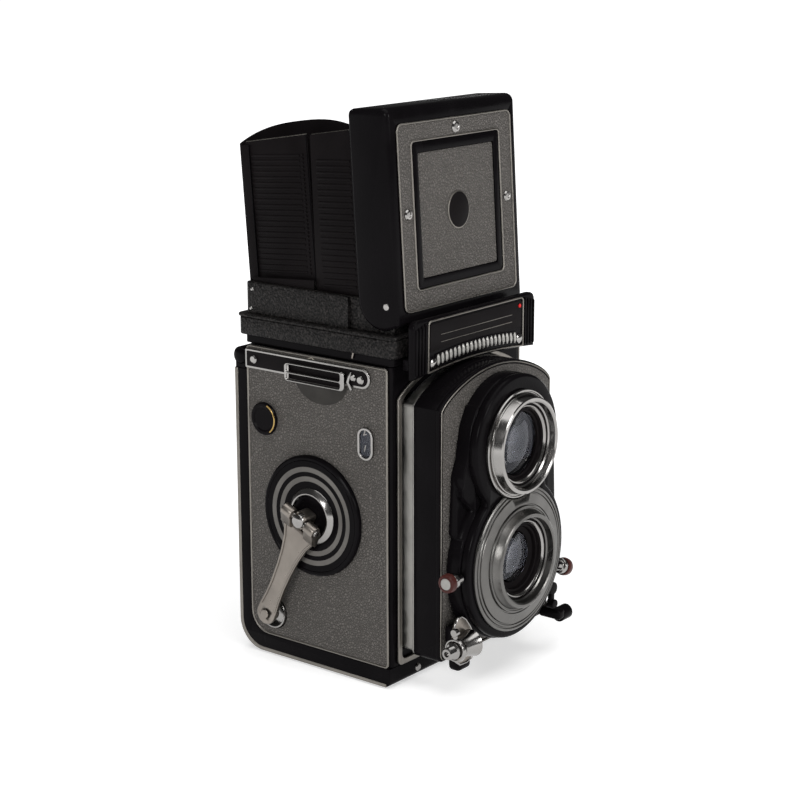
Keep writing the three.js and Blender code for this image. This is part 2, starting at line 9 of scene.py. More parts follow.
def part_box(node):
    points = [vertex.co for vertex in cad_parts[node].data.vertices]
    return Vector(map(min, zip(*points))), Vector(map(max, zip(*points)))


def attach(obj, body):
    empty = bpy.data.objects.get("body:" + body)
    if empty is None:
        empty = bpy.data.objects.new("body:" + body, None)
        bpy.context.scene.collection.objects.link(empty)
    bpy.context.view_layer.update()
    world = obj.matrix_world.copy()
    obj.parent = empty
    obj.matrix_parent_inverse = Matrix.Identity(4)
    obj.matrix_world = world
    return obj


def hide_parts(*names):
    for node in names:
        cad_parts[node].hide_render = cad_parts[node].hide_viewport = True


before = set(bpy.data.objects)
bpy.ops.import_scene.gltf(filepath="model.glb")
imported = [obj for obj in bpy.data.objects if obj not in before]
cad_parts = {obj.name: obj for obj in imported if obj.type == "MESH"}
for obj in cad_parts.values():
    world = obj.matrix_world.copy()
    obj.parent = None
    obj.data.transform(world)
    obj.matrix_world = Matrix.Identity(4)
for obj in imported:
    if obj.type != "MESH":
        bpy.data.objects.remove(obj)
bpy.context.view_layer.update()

# ---- the body frame -------------------------------------------------------------------------
# Lengths below are millimetres from the middle of the body's front face at the level of the
# base: x to the focusing side, y to the rear, z up. The frame's own boxes say where that is.
MM = 0.001
FOOT = 0.7
left_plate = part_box("side_plate_left")
right_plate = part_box("side_plate_right")
ORIGIN = Vector((
    (left_plate[0][0] + right_plate[1][0]) / 2,
    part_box("body_casting")[0][1],
    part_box("back_door")[0][2] + FOOT * MM,
))
PLACE = Matrix.Translation(ORIGIN) @ Matrix.Scale(MM, 4)
TAKING, VIEWING = 43.9, 85.9
TAKEUP, SUPPLY, FOCUS = (57, 89.5), (24, 18.5), (22, 57.4)
HINGE = (68.9, 110.9)
TAGS = {-1: "left", 1: "right"}
CRANK_Y, CRANK_Z = 34.4, 57.4
CRANK_WELL = (54.6, 16.4)
LEFT, RIGHT = -39.0, 39.0
LEVER_Y = -23.9
RELEASE_Y, RELEASE_Z = -25.4, 19.2

AXES = {
    "x": Matrix(((0, 0, 1), (1, 0, 0), (0, 1, 0))).to_4x4(),  # outline (y, z), height along x
    "y": Matrix(((0, 1, 0), (0, 0, 1), (1, 0, 0))).to_4x4(),  # outline (z, x), height along y
    "z": Matrix.Identity(4),
}
TILTS = {
    "body": Matrix.Identity(4),
    "crank": Matrix.Translation((0, CRANK_Y, CRANK_Z)) @ Matrix.Rotation(math.radians(26), 4, "X"),
    "lid": Matrix.Translation((0, 3, 136.5)) @ Matrix.Rotation(math.radians(-3.6), 4, "X"),
    "rear": Matrix.Translation((0, 68.2, 136)) @ Matrix.Rotation(math.radians(-4.4), 4, "X"),
}


# ---- materials ------------------------------------------------------------------------------
def material(name, color, rough, metal=0.0, **extra):
    """A principled material. extra sets more sockets by name."""
    mat = bpy.data.materials.new(name)
    mat.use_nodes = True
    shader = mat.node_tree.nodes["Principled BSDF"]
    shader.inputs["Base Color"].default_value = (*color, 1)
    shader.inputs["Roughness"].default_value = rough
    shader.inputs["Metallic"].default_value = metal
    for key, value in extra.items():
        shader.inputs[key.replace("_", " ")].default_value = value
    return mat, shader


def add_node(mat, kind, **values):
    node = mat.node_tree.nodes.new(kind)
    for key, value in values.items():
        if key in node.inputs:
            node.inputs[key].default_value = value
        else:
            setattr(node, key, value)
    return node


def link(mat, source, target):
    mat.node_tree.links.new(source, target)


def position(mat):
    return add_node(mat, "ShaderNodeTexCoord").outputs["Object"]


def noise(mat, scale, detail=3.0, rough=0.5, where=None):
    node = add_node(mat, "ShaderNodeTexNoise", Scale=scale, Detail=detail, Roughness=rough)
    link(mat, where or position(mat), node.inputs["Vector"])
    return node.outputs["Fac"]


def ramp(mat, fac, low, high, color_low, color_high):
    node = add_node(mat, "ShaderNodeValToRGB")
    node.color_ramp.elements[0].position = low
    node.color_ramp.elements[1].position = high
    node.color_ramp.elements[0].color = (*color_low, 1)
    node.color_ramp.elements[1].color = (*color_high, 1)
    link(mat, fac, node.inputs["Fac"])
    return node.outputs["Color"]


def spread(mat, fac, low, high, out_low, out_high):
    node = add_node(mat, "ShaderNodeMapRange")
    for key, value in (("From Min", low), ("From Max", high), ("To Min", out_low), ("To Max", out_high)):
        node.inputs[key].default_value = value
    link(mat, fac, node.inputs["Value"])
    return node.outputs["Result"]


def bump(mat, shader, height, strength, distance):
    node = add_node(mat, "ShaderNodeBump", Strength=strength, Distance=distance)
    link(mat, height, node.inputs["Height"])
    link(mat, node.outputs["Normal"], shader.inputs["Normal"])


def enamel(name="black_enamel", color=(0.0035, 0.003, 0.0035), rough=0.16, gloss=0.03):
    """Gloss black stoving enamel: faint orange peel, dust and handling haze."""
    mat, shader = material(name, color, rough, Specular_IOR_Level=gloss)
    link(mat, spread(mat, noise(mat, 90, 5), 0.35, 0.7, rough - 0.04, rough + 0.16),
        shader.inputs["Roughness"])
    tint = [c * 1.6 for c in color]
    link(mat, ramp(mat, noise(mat, 45, 6), 0.45, 0.8, color, tint), shader.inputs["Base Color"])
    bump(mat, shader, noise(mat, 900, 2), 0.12, 0.0001)
    return mat


def crinkle():
    """Black crinkle enamel: folds that catch the light as sparks; painted shade in the fold valleys."""
    mat, shader = material("crinkle_enamel", (0.014, 0.013, 0.013), 0.36, Specular_IOR_Level=0.1)
    cells = add_node(mat, "ShaderNodeTexVoronoi", Scale=1500.0)
    cells.feature = "SMOOTH_F1"
    link(mat, position(mat), cells.inputs["Vector"])
    folds = noise(mat, 1100, 4, 0.6)
    both = add_node(mat, "ShaderNodeMath", operation="MULTIPLY")
    link(mat, cells.outputs["Distance"], both.inputs[0])
    link(mat, folds, both.inputs[1])
    # The base colour follows the fold height too: painted shade in the valleys, lighter crests.
    link(mat, ramp(mat, both.outputs[0], 0.12, 0.42, (0.002, 0.002, 0.002), (0.03, 0.027, 0.026)),
         shader.inputs["Base Color"])
    bump(mat, shader, both.outputs[0], 1.0, 0.0005)
    return mat


def leather(name="grey_leather", crease_shade=(0.052, 0.048, 0.044), light=(0.122, 0.112, 0.103)):
    """Fine grained grey leatherette: small pebbles joined by creases, with shade painted into the creases."""
    mat, shader = material(name, light, 0.52, Specular_IOR_Level=0.2)
    where = position(mat)
    warp = add_node(mat, "ShaderNodeTexNoise", Scale=420.0, Detail=2.0)
    link(mat, where, warp.inputs["Vector"])
    moved = add_node(mat, "ShaderNodeVectorMath", operation="MULTIPLY_ADD")
    link(mat, warp.outputs["Color"], moved.inputs[0])
    moved.inputs[1].default_value = (0.0011, 0.0011, 0.0011)
    link(mat, where, moved.inputs[2])
    grain = add_node(mat, "ShaderNodeTexVoronoi", Scale=1050.0)
    grain.feature = "DISTANCE_TO_EDGE"
    link(mat, moved.outputs[0], grain.inputs["Vector"])
    pebble = spread(mat, grain.outputs["Distance"], 0.0, 0.28, 0.0, 1.0)
    # The colour darkens into the creases where the bump sinks: painted shade.
    link(mat, ramp(mat, pebble, 0.0, 0.8, crease_shade, light), shader.inputs["Base Color"])
    link(mat, spread(mat, noise(mat, 60, 5), 0.3, 0.7, 0.42, 0.62), shader.inputs["Roughness"])
    bump(mat, shader, pebble, 0.9, 0.0004)
    return mat


def plated(name, color, rough, scratch=0.1, grain=700.0):
    """Plated or turned metal with fine handling marks."""
    mat, shader = material(name, color, rough, 1.0)
    link(mat, spread(mat, noise(mat, 160, 6, 0.65), 0.3, 0.75, rough * 0.8, rough * 1.7),
        shader.inputs["Roughness"])
    low = [c * 0.78 for c in color]
    link(mat, ramp(mat, noise(mat, 55, 5), 0.3, 0.62, low, color), shader.inputs["Base Color"])
    bump(mat, shader, noise(mat, grain, 4), scratch, 0.0001)
    return mat


def glass(name, tint=(0.96, 0.97, 1.0), rough=0.0, coat=(0.75, 0.8, 1.0)):
    mat, shader = material(name, tint, rough, IOR=1.3, Transmission_Weight=1.0)
    shader.inputs["Specular Tint"].default_value = (*coat, 1)
    link(mat, spread(mat, noise(mat, 40, 4), 0.3, 0.8, rough, rough + 0.03), shader.inputs["Roughness"])
    return mat


def moulded(name, color, rough):
    mat, shader = material(name, color, rough, Specular_IOR_Level=0.15)
    link(mat, spread(mat, noise(mat, 300, 4), 0.3, 0.7, rough - 0.08, rough + 0.12),
        shader.inputs["Roughness"])
    light = [c * 1.6 for c in color]
    link(mat, ramp(mat, noise(mat, 70, 4), 0.4, 0.8, color, light), shader.inputs["Base Color"])
    bump(mat, shader, noise(mat, 1500, 3), 0.15, 0.0001)
    return mat


ENAMEL = enamel()
MATT = enamel("satin_black", (0.0055, 0.0045, 0.0048), 0.36, 0.03)
CRINKLE = crinkle()
LEATHER = leather()
PATCH = moulded("grey_lacquer", (0.02, 0.018, 0.016), 0.45)
RING = moulded("ring_paint", (0.1, 0.094, 0.087), 0.4)
CHROME = plated("chrome", (0.32, 0.31, 0.3), 0.15, 0.06)
SATIN = plated("satin_nickel", (0.25, 0.225, 0.2), 0.3, 0.16)
ALLOY = plated("turned_alloy", (0.14, 0.136, 0.13), 0.27, 0.12, 1200.0)
TRIM = plated("bright_line", (0.22, 0.205, 0.185), 0.32, 0.05)
SLEEVE = plated("matt_sleeve", (0.4, 0.39, 0.37), 0.42, 0.1)
GLASS = glass("coated_glass")
SCREEN = glass("ground_glass", (0.85, 0.87, 0.86), 0.35)
PLASTIC = moulded("black_plastic", (0.012, 0.012, 0.012), 0.45)
BROWN = moulded("red_brown_ring", (0.045, 0.012, 0.01), 0.3)
RED = moulded("red_paint", (0.5, 0.01, 0.01), 0.4)
IVORY = moulded("ivory_paint", (0.42, 0.39, 0.33), 0.5)
BRASS = plated("brass", (0.5, 0.34, 0.12), 0.25)
MIRROR = plated("silver_mirror", (0.85, 0.86, 0.86), 0.03, 0.0)


# ---- mesh helpers ---------------------------------------------------------------------------
def finish_mesh(name, bm, mat, tilt="body", turn=35.0):
    """Makes the object: millimetres to the row frame, smooth but for its sharp edges."""
    bmesh.ops.remove_doubles(bm, verts=bm.verts, dist=0.001)
    bmesh.ops.recalc_face_normals(bm, faces=bm.faces)
    limit = math.radians(turn)
    for face in bm.faces:
        face.smooth = True
    for edge in bm.edges:
        edge.smooth = len(edge.link_faces) == 2 and edge.calc_face_angle(0) < limit
    bm.transform(TILTS[tilt])
    bm.transform(PLACE)
    mesh = bpy.data.meshes.new(name)
    bm.to_mesh(mesh)
    bm.free()
    mesh.materials.append(mat)
    obj = bpy.data.objects.new(name, mesh)
    bpy.context.scene.collection.objects.link(obj)
    return obj


def reshape(obj, matrix):
    """Applies a matrix given in millimetres of the body frame."""
    obj.data.transform(PLACE @ matrix @ PLACE.inverted())


def span(side, near, far):
    """Low and high x of a layer on one side of the body."""
    return sorted((side * near, side * far))


def put(obj, body, slot, *nodes):
    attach(obj, body)
    if nodes:
        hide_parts(*nodes)
    return obj


def lathe(name, mat, axis, profile, at, steps=96, tilt="body", turn=30.0, flute=None):
    """profile: (radius, height) points, closed on the axis or on itself. flute gives new radii."""
    bm = bmesh.new()
    loops = []
    for i in range(steps):
        angle = 2 * math.pi * i / steps
        ring = []
        for radius, height in profile:
            r = flute(angle, radius, height) if flute else radius
            ring.append(bm.verts.new((r * math.cos(angle), r * math.sin(angle), height)))
        loops.append(ring)
    for i in range(steps):
        a, b = loops[i], loops[(i + 1) % steps]
        for j in range(len(profile) - 1):
            quad = [a[j], b[j], b[j + 1], a[j + 1]]
            if profile[j][0] < 1e-6:
                quad = [a[j], b[j + 1], a[j + 1]]
            elif profile[j + 1][0] < 1e-6:
                quad = [a[j], b[j], a[j + 1]]
            bm.faces.new(quad)
    bm.transform(Matrix.Translation(at) @ AXES[axis])
    return finish_mesh(name, bm, mat, tilt, turn)


def bevelled(points, size=0.3, steps=3):
    """Rounds the inner corners of a profile that starts and ends on the axis or on itself."""
    out = [points[0]]
    for before, here, after in zip(points, points[1:], points[2:]):
        a, p, b = Vector(before), Vector(here), Vector(after)
        cut = min(size, (a - p).length * 0.45, (b - p).length * 0.45)
        start, end = p + (a - p).normalized() * cut, p + (b - p).normalized() * cut
        for i in range(steps + 1):
            t = i / steps
            out.append(tuple(start * (1 - t) ** 2 + p * 2 * t * (1 - t) + end * t ** 2))
    out.append(points[-1])
    return out


def arc(cx, cy, r, start, end, steps=8):
    angles = [math.radians(start + (end - start) * i / steps) for i in range(steps + 1)]
    return [(cx + r * math.cos(t), cy + r * math.sin(t)) for t in angles]


def rounded(a0, a1, b0, b1, r, steps=8):
    """A rounded rectangle. r is one radius or four, from the low corner round."""
    q = r if isinstance(r, (tuple, list)) else (r,) * 4
    return (arc(a0 + q[0], b0 + q[0], q[0], 180, 270, steps)
        + arc(a1 - q[1], b0 + q[1], q[1], 270, 360, steps)
            + arc(a1 - q[2], b1 - q[2], q[2], 0, 90, steps) + arc(a0 + q[3], b1 - q[3], q[3], 90, 180, steps))


def circle(cx, cy, r, steps=48):
    return arc(cx, cy, r, 0, 360 - 360 / steps, steps - 1)


def slab_mesh(loops, low, high, edge=0.3, rounds=2):
    """Outline with holes, filled, extruded between two heights, with rounded rims."""
    curve = bpy.data.curves.new("slab", "CURVE")
    curve.dimensions = "2D"
    curve.fill_mode = "BOTH"
    curve.extrude = (high - low) / 2 - edge
    curve.bevel_depth = edge
    curve.bevel_resolution = rounds
    curve.offset = -edge
    for loop in loops:
        spline = curve.splines.new("POLY")
        spline.points.add(len(loop) - 1)
        for point, (a, b) in zip(spline.points, loop):
            point.co = (a, b, 0, 1)
        spline.use_cyclic_u = True
    holder = bpy.data.objects.new("slab", curve)
    bpy.context.scene.collection.objects.link(holder)
    graph = bpy.context.evaluated_depsgraph_get()
    mesh = bpy.data.meshes.new_from_object(holder.evaluated_get(graph))
    bm = bmesh.new()
    bm.from_mesh(mesh)
    bm.transform(Matrix.Translation((0, 0, (low + high) / 2)))
    bpy.data.objects.remove(holder)
    bpy.data.curves.remove(curve)
    bpy.data.meshes.remove(mesh)
    return bm


def slab(name, mat, axis, loops, low, high, edge=0.3, tilt="body", turn=35.0):
    bm = slab_mesh(loops, low, high, edge)
    bm.transform(AXES[axis])
    return finish_mesh(name, bm, mat, tilt, turn)


def block(name, mat, xs, ys, zs, edge=0.4, tilt="body", steps=3):
    """A box with rounded edges."""
    bm = bmesh.new()
    bmesh.ops.create_cube(bm, size=1)
    size = (xs[1] - xs[0], ys[1] - ys[0], zs[1] - zs[0])
    middle = ((xs[0] + xs[1]) / 2, (ys[0] + ys[1]) / 2, (zs[0] + zs[1]) / 2)
    bm.transform(Matrix.Translation(middle) @ Matrix.Diagonal((*size, 1)))
    bmesh.ops.bevel(bm, geom=bm.edges[:], offset=edge, segments=steps, profile=0.5, affect="EDGES")
    return finish_mesh(name, bm, mat, tilt)


def wire(name, mat, points, r=0.3, closed=False, tilt="body", sides=8):
    """A round bar along points in three dimensions."""
    path = [Vector(p) for p in points]
    count = len(path)
    bm = bmesh.new()
    rings = []
    normal = None
    for i, here in enumerate(path):
        before = path[i - 1] if closed or i else here
        after = path[(i + 1) % count] if closed or i < count - 1 else here
        along = (after - before).normalized()
        if normal is None:
            normal = along.orthogonal().normalized()
        normal = (normal - along * normal.dot(along)).normalized()
        side = along.cross(normal)
        rings.append([bm.verts.new(here + (normal * math.cos(t) + side * math.sin(t)) * r)
                      for t in (2 * math.pi * k / sides for k in range(sides))])
    for i in range(count if closed else count - 1):
        a, b = rings[i], rings[(i + 1) % count]
        for k in range(sides):
            bm.faces.new([a[k], a[(k + 1) % sides], b[(k + 1) % sides], b[k]])
    if not closed:
        bm.faces.new(rings[0][::-1])
        bm.faces.new(rings[-1])
    return finish_mesh(name, bm, mat, tilt, 60)


def join(name, *objs):
    """One object out of several, keeping each one's material."""
    first = objs[0]
    bpy.ops.object.select_all(action="DESELECT")
    for obj in objs:
        obj.select_set(True)
    bpy.context.view_layer.objects.active = first
    bpy.ops.object.join()
    first.name = name
    return first


def carve(obj, *cutters):
    """Cuts the cutters out of an object, then deletes them."""
    for cutter in cutters:
        step = obj.modifiers.new("cut", "BOOLEAN")
        step.object = cutter
        step.operation = "DIFFERENCE"
        step.solver = "EXACT"
    graph = bpy.context.evaluated_depsgraph_get()
    mesh = bpy.data.meshes.new_from_object(obj.evaluated_get(graph))
    obj.modifiers.clear()
    obj.data = mesh
    for cutter in cutters:
        bpy.data.objects.remove(cutter)
    return obj


# ---- back door, side plates and body trim -----------------------------------------------------
def door_outline(inset=0.0):
    r = 11 - inset
    low, back = inset, 71.3 - inset
    return ([(3, low)] + arc(back - r, low + r, r, 270, 360, 14)
            + [(back, 106.6 - inset), (65.6, 106.6 - inset), (65.6, 7), (0.0 + inset, 7)]
            + arc(inset + 2.4, low + 2.4, 2.4, 180, 270, 5)[:-1])


def back_door():
    shell = slab("back_shell", ENAMEL, "x", [door_outline()], -39, 39, 0.35)
    hollow = [(4, 1.7), (62, 1.7), (69.6, 9), (69.6, 104), (60, 104), (60, 8), (4, 8)]
    room = slab("room", ENAMEL, "x", [hollow], -34, 34, 0.05)
    bush = lathe("bush", ENAMEL, "z", [(0, -3), (5.4, -3), (5.4, 4), (0, 4)], (0, 34, 0), 48)
    plate = lathe("plate", ENAMEL, "z", [(0, -3), (15.4, -3), (15.4, 0.9), (0, 0.9)], (0, 34, 0), 64)
    carve(shell, room, bush, plate)
    put(shell, "back", "black_lacquer", "back_door")
    for side in (-1, 1):
        tag = TAGS[side]
        x = side * 38.85
        outer = [(1.6, 0.0)] + arc(60.3, 11, 11, 270, 360, 16) + [(71.3, 106.4)]
        inner = [(1.6, 1.25)] + arc(60.05, 11.3, 9.8, 270, 360, 16) + [(69.85, 106.4)]
        low, high = span(side, 38.7, 39.16)
        rim = slab(f"back_rim_{tag}", TRIM, "x", [outer + inner[::-1]], low, high, 0.12)
        put(rim, "back", "chrome")
        corner = [(65.8, 6.8)] + arc(57.2, 15.3, 8.3, 360, 270, 12)
        low, high = span(side, 38.1, 39)
        fillet = slab(f"back_corner_{tag}", ENAMEL, "x", [corner], low, high, 0.02)
        put(fillet, "back", "black_lacquer")
        low, high = span(side, 18.4, 38.6)
        barrel = lathe(f"hinge_barrel_{tag}", ENAMEL, "x",
                       bevelled([(0, low), (3.4, low), (3.4, high), (0, high)], 0.4), (0, *HINGE), 40)
        web = slab(f"hinge_web_{tag}", ENAMEL, "x",
                   [[(66.6, 105), (71.3, 105), (71.3, 108.6), (70, 110.9), (67, 110.9)]], low, high, 0.2)
        put(join(f"hinge_barrel_{tag}", barrel, web), "back", "black_lacquer")
        out = side * 38.6
        cap = lathe(f"hinge_end_{tag}", ENAMEL, "x", [
            (0, out), (2.6, out), (2.6, out + side * 0.25), (1.9, out + side * 0.6), (0, out + side * 0.6),
        ][::side], (0, *HINGE), 32)
        put(cap, "back", "black_lacquer")
    hide = slab("back_leather", LEATHER, "y", [rounded(14, 102, -36, 36, 2)], 71.2, 71.65, 0.15)
    put(hide, "back", "grey_leather")
    table = slab("exposure_table", SATIN, "y", [rounded(38, 78, -22, 22, 2)], 71.5, 71.95, 0.12)
    lines = [block(f"table_line_{i}", PATCH, (-19, 19), (71.9, 72.05), (43 + 6 * i, 43.3 + 6 * i), 0.04)
             for i in range(6)]
    put(join("exposure_table", table, *lines), "back", "satin_nickel")
    sole = slab("base_leather", LEATHER, "z",
                [rounded(-35, 35, 5, 60, 2), circle(0, 34, 16.2)], -0.3, 0.1, 0.1)
    put(sole, "back", "grey_leather")
    for i, (x, y) in enumerate(((-31, 8), (31, 8), (-31, 56), (31, 56))):
        foot = lathe(f"foot_{i + 1}", CHROME, "z",
            bevelled([(0, -0.7), (2.6, -0.7), (3, 0.1), (0, 0.1)], 0.3),
                     (x, y, 0), 32)
        put(foot, "back", "chrome")


def side_plate(side):
    tag = TAGS[side]
    low, high = span(side, 38.2, 39.0)
    holes = {
        -1: [circle(CRANK_Y, CRANK_Z, 3.4, 32), circle(*TAKEUP, 2.6, 24), circle(*CRANK_WELL, 6.4, 40),
             rounded(7.2, 12.8, 82.6, 93.2, 2.8)],
        1: [circle(*TAKEUP, 2.6, 24), circle(*SUPPLY, 2.6, 24), circle(*FOCUS, 3.4, 32)],
    }[side]
    panel = slab(f"side_leather_{tag}", LEATHER, "x",
        [rounded(1.2, 65.2, 7.3, 115.4, (0.8, 8, 0.8, 0.8))] + holes, low, high, 0.12)
    put(panel, "body", "grey_leather", f"side_plate_{tag}")
    x = side * 38.9
    loop = [(x, y, z) for y, z in rounded(0.95, 65.0, 7.5, 115.4, (1.2, 7.8, 1.2, 1.2), 6)]
    put(wire(f"side_rim_{tag}", TRIM, loop, 0.42, True), "body", "chrome")
    y0, y1 = 18.4, 42.4
    half = (y1 - y0) / 2
    patch = arc((y0 + y1) / 2, 107.4, half, 180, 360, 24)
    patch = [(y, 107.4 + (z - 107.4) * 0.72) for y, z in patch]
    low, high = span(side, 38.9, 39.12)
    put(slab(f"lug_patch_{tag}", PATCH, "x", [patch], low, high, 0.05), "body", "black_plastic")


def strap_plate(side):
    tag = TAGS[side]
    face = side * 39.3

    def plate(name, mat, loops, low, high, edge):
        a, b = sorted((face + side * low, face + side * high))
        return slab(name, mat, "x", loops, a, b, edge)

    bar_loop = rounded(7.6, 65.3, 107.4, 114.5, (3.5, 0.6, 0.6, 3.5))
    rim = plate(f"strap_rim_{tag}", CHROME, [bar_loop], 0, 0.7, 0.25)
    well = plate(f"strap_well_{tag}", MATT, [rounded(8.5, 64.4, 108.2, 113.7, (2.7, 0.3, 0.3, 2.7))], 0.3,
        0.86, 0.05)
    lug = plate(f"strap_lug_{tag}", CHROME, [
        rounded(17.6, 45, 105.8, 112.6, 1.6),
        rounded(19.4, 44.1, 106.5, 108.6, 0.8), rounded(19.4, 44.1, 109.3, 111.9, 0.8),
    ], 1.6, 2.7, 0.32)
    floor = plate(f"strap_floor_{tag}", MATT, [rounded(19, 44.4, 106.4, 112, 0.8)], 0.2, 1.0, 0.1)
    ends = [block(f"strap_end_{tag}_{i}", CHROME, sorted((face + side * 0.3, face + side * 2.3)),
        (y - 0.8, y + 0.8), (106.4, 112.2), 0.35) for i, y in enumerate((18.6, 44.1))]
    guard = wire(f"strap_guard_{tag}", CHROME, [
        (face + side * 1.0, 15.6, 106.6), (face + side * 2.0, 16.3, 109.4),
        (face + side * 1.0, 15.8, 112.8)], 0.55)
    part = join(f"strap_plate_{tag}", rim, well, lug, floor, *ends, guard)
    put(part, "body", "chrome", f"strap_plate_{tag}")
    for i, (y, z) in enumerate(((60.9, 111), (11.4, 110.6), (14.6, 110.9))):
        r = 1.55 if i != 2 else 1.2
        head = lathe(f"strap_screw_{tag}_{i}", CHROME, "x", [
            (0, side * 0.9), (r * 0.7, side * 0.85), (r, side * 0.4), (r, 0), (0, 0)][::side],
            (face + side * 0.8, y, z), 28)
        put(head, "body", "chrome")
    mark = wire(f"film_mark_{tag}", IVORY, [
        (side * 39.05, 37.2, 113.9), (side * 39.05, 34.6, 115.0), (side * 39.05, 32, 113.5)], 0.16)
    put(mark, "body", "chrome")


def crank_side():
    face = LEFT - 0.3
    disc = lathe("crank_disc_face", ENAMEL, "x", [
        (10.4, face), (10.4, face - 1.15), (20.2, face - 1.66), (20.4, face - 1.5), (20.6, face - 1.66),
        (21.4, face - 1.7), (21.9, face - 1.4), (22.1, face - 1.0),
        (22.2, face - 0.4), (22.2, face), (10.4, face)], (0, CRANK_Y, CRANK_Z), 128)

    def level(r):
        return face - 1.15 - (r - 10.4) / 10.6 * 0.55

    lines = []
    for i, (inner, outer) in enumerate(((12.8, 14.6), (16.3, 18.1))):
        lines.append(lathe(f"disc_line_{i}", RING, "x", [
            (inner, level(inner) + 0.1), (inner, level(inner) - 0.05), (outer, level(outer) - 0.05),
            (outer, level(outer) + 0.1), (inner, level(inner) + 0.1)], (0, CRANK_Y, CRANK_Z), 128))
    put(join("crank_disc_face", disc, *lines), "body", "black_lacquer", "crank_disc")

    well = lathe("crank_well_cup", CHROME, "x", [
        (0, -36.5), (6.1, -36.5), (6.1, -39.4), (5.95, -39.75), (5.5, -39.8), (5.2, -39.5), (5.1, -37.3),
        (0, -37.3),
    ], (0, *CRANK_WELL), 64)
    put(well, "body", "chrome", "crank_well")
    cap = lathe("axle_cap", ENAMEL, "x", [
        (0, face - 0.55), (4.2, face - 0.6), (4.7, face - 0.95), (5.5, face - 0.9), (6.0, face - 0.55),
        (6.1, face), (0, face)], (0, *TAKEUP), 72)
    rim = wire("axle_cap_rim", BRASS, [(face - 0.82, y, z) for y, z in arc(*TAKEUP, 5.35, 110, 235, 20)], 0.3)
    put(join("axle_cap", cap, rim), "body", "black_lacquer", "spool_axle_cap")

    frame_loop = [rounded(6.6, 13.4, 82.1, 93.8, 3.3), rounded(7.5, 12.5, 83.0, 92.9, 2.4)]
    put(slab("counter_frame", CHROME, "x", frame_loop, face - 0.65, face + 0.3, 0.2), "body", "chrome")
    pane = slab("counter_pane", GLASS, "x", [rounded(7.4, 12.6, 82.9, 93.0, 2.5)], face - 0.2, face, 0.04)
    put(pane, "body", "coated_glass", "counter_window")
    dial = lathe("counter_wheel", PLASTIC, "x", [(0, -36.9), (13.4, -36.9), (13.4, -37.8), (0, -37.8)],
                 (0, 22.5, 88), 64)
    marks = []
    for i in range(12):
        turn = math.radians(180 - 30 * i + 12)
        at = (22.5 + 11.2 * math.cos(turn), 88 + 11.2 * math.sin(turn))
        marks.append(digits(f"counter_number_{i}", str(i + 1), at, turn))
    put(join("counter_wheel", dial, *marks), "counter_dial", "black_plastic", "counter_dial")


def digits(name, text, at, turn):
    """A film counter number on the wheel, read from the left side."""
    curve = bpy.data.curves.new(name, "FONT")
    curve.body = text
    curve.size = 3.4
    curve.align_x = "CENTER"
    curve.align_y = "CENTER"
    curve.extrude = 0.04
    holder = bpy.data.objects.new(name, curve)
    bpy.context.scene.collection.objects.link(holder)
    mesh = bpy.data.meshes.new_from_object(holder.evaluated_get(bpy.context.evaluated_depsgraph_get()))
    bm = bmesh.new()
    bm.from_mesh(mesh)
    bpy.data.objects.remove(holder)
    # seen from -x: right is -y
    facing = Matrix(((0, 0, -1), (-1, 0, 0), (0, 1, 0))).to_4x4()
    spin = Matrix.Rotation(turn - math.pi, 4, "X")
    bm.transform(Matrix.Translation((-37.84, at[0], at[1])) @ spin @ facing)
    return finish_mesh(name, bm, IVORY)


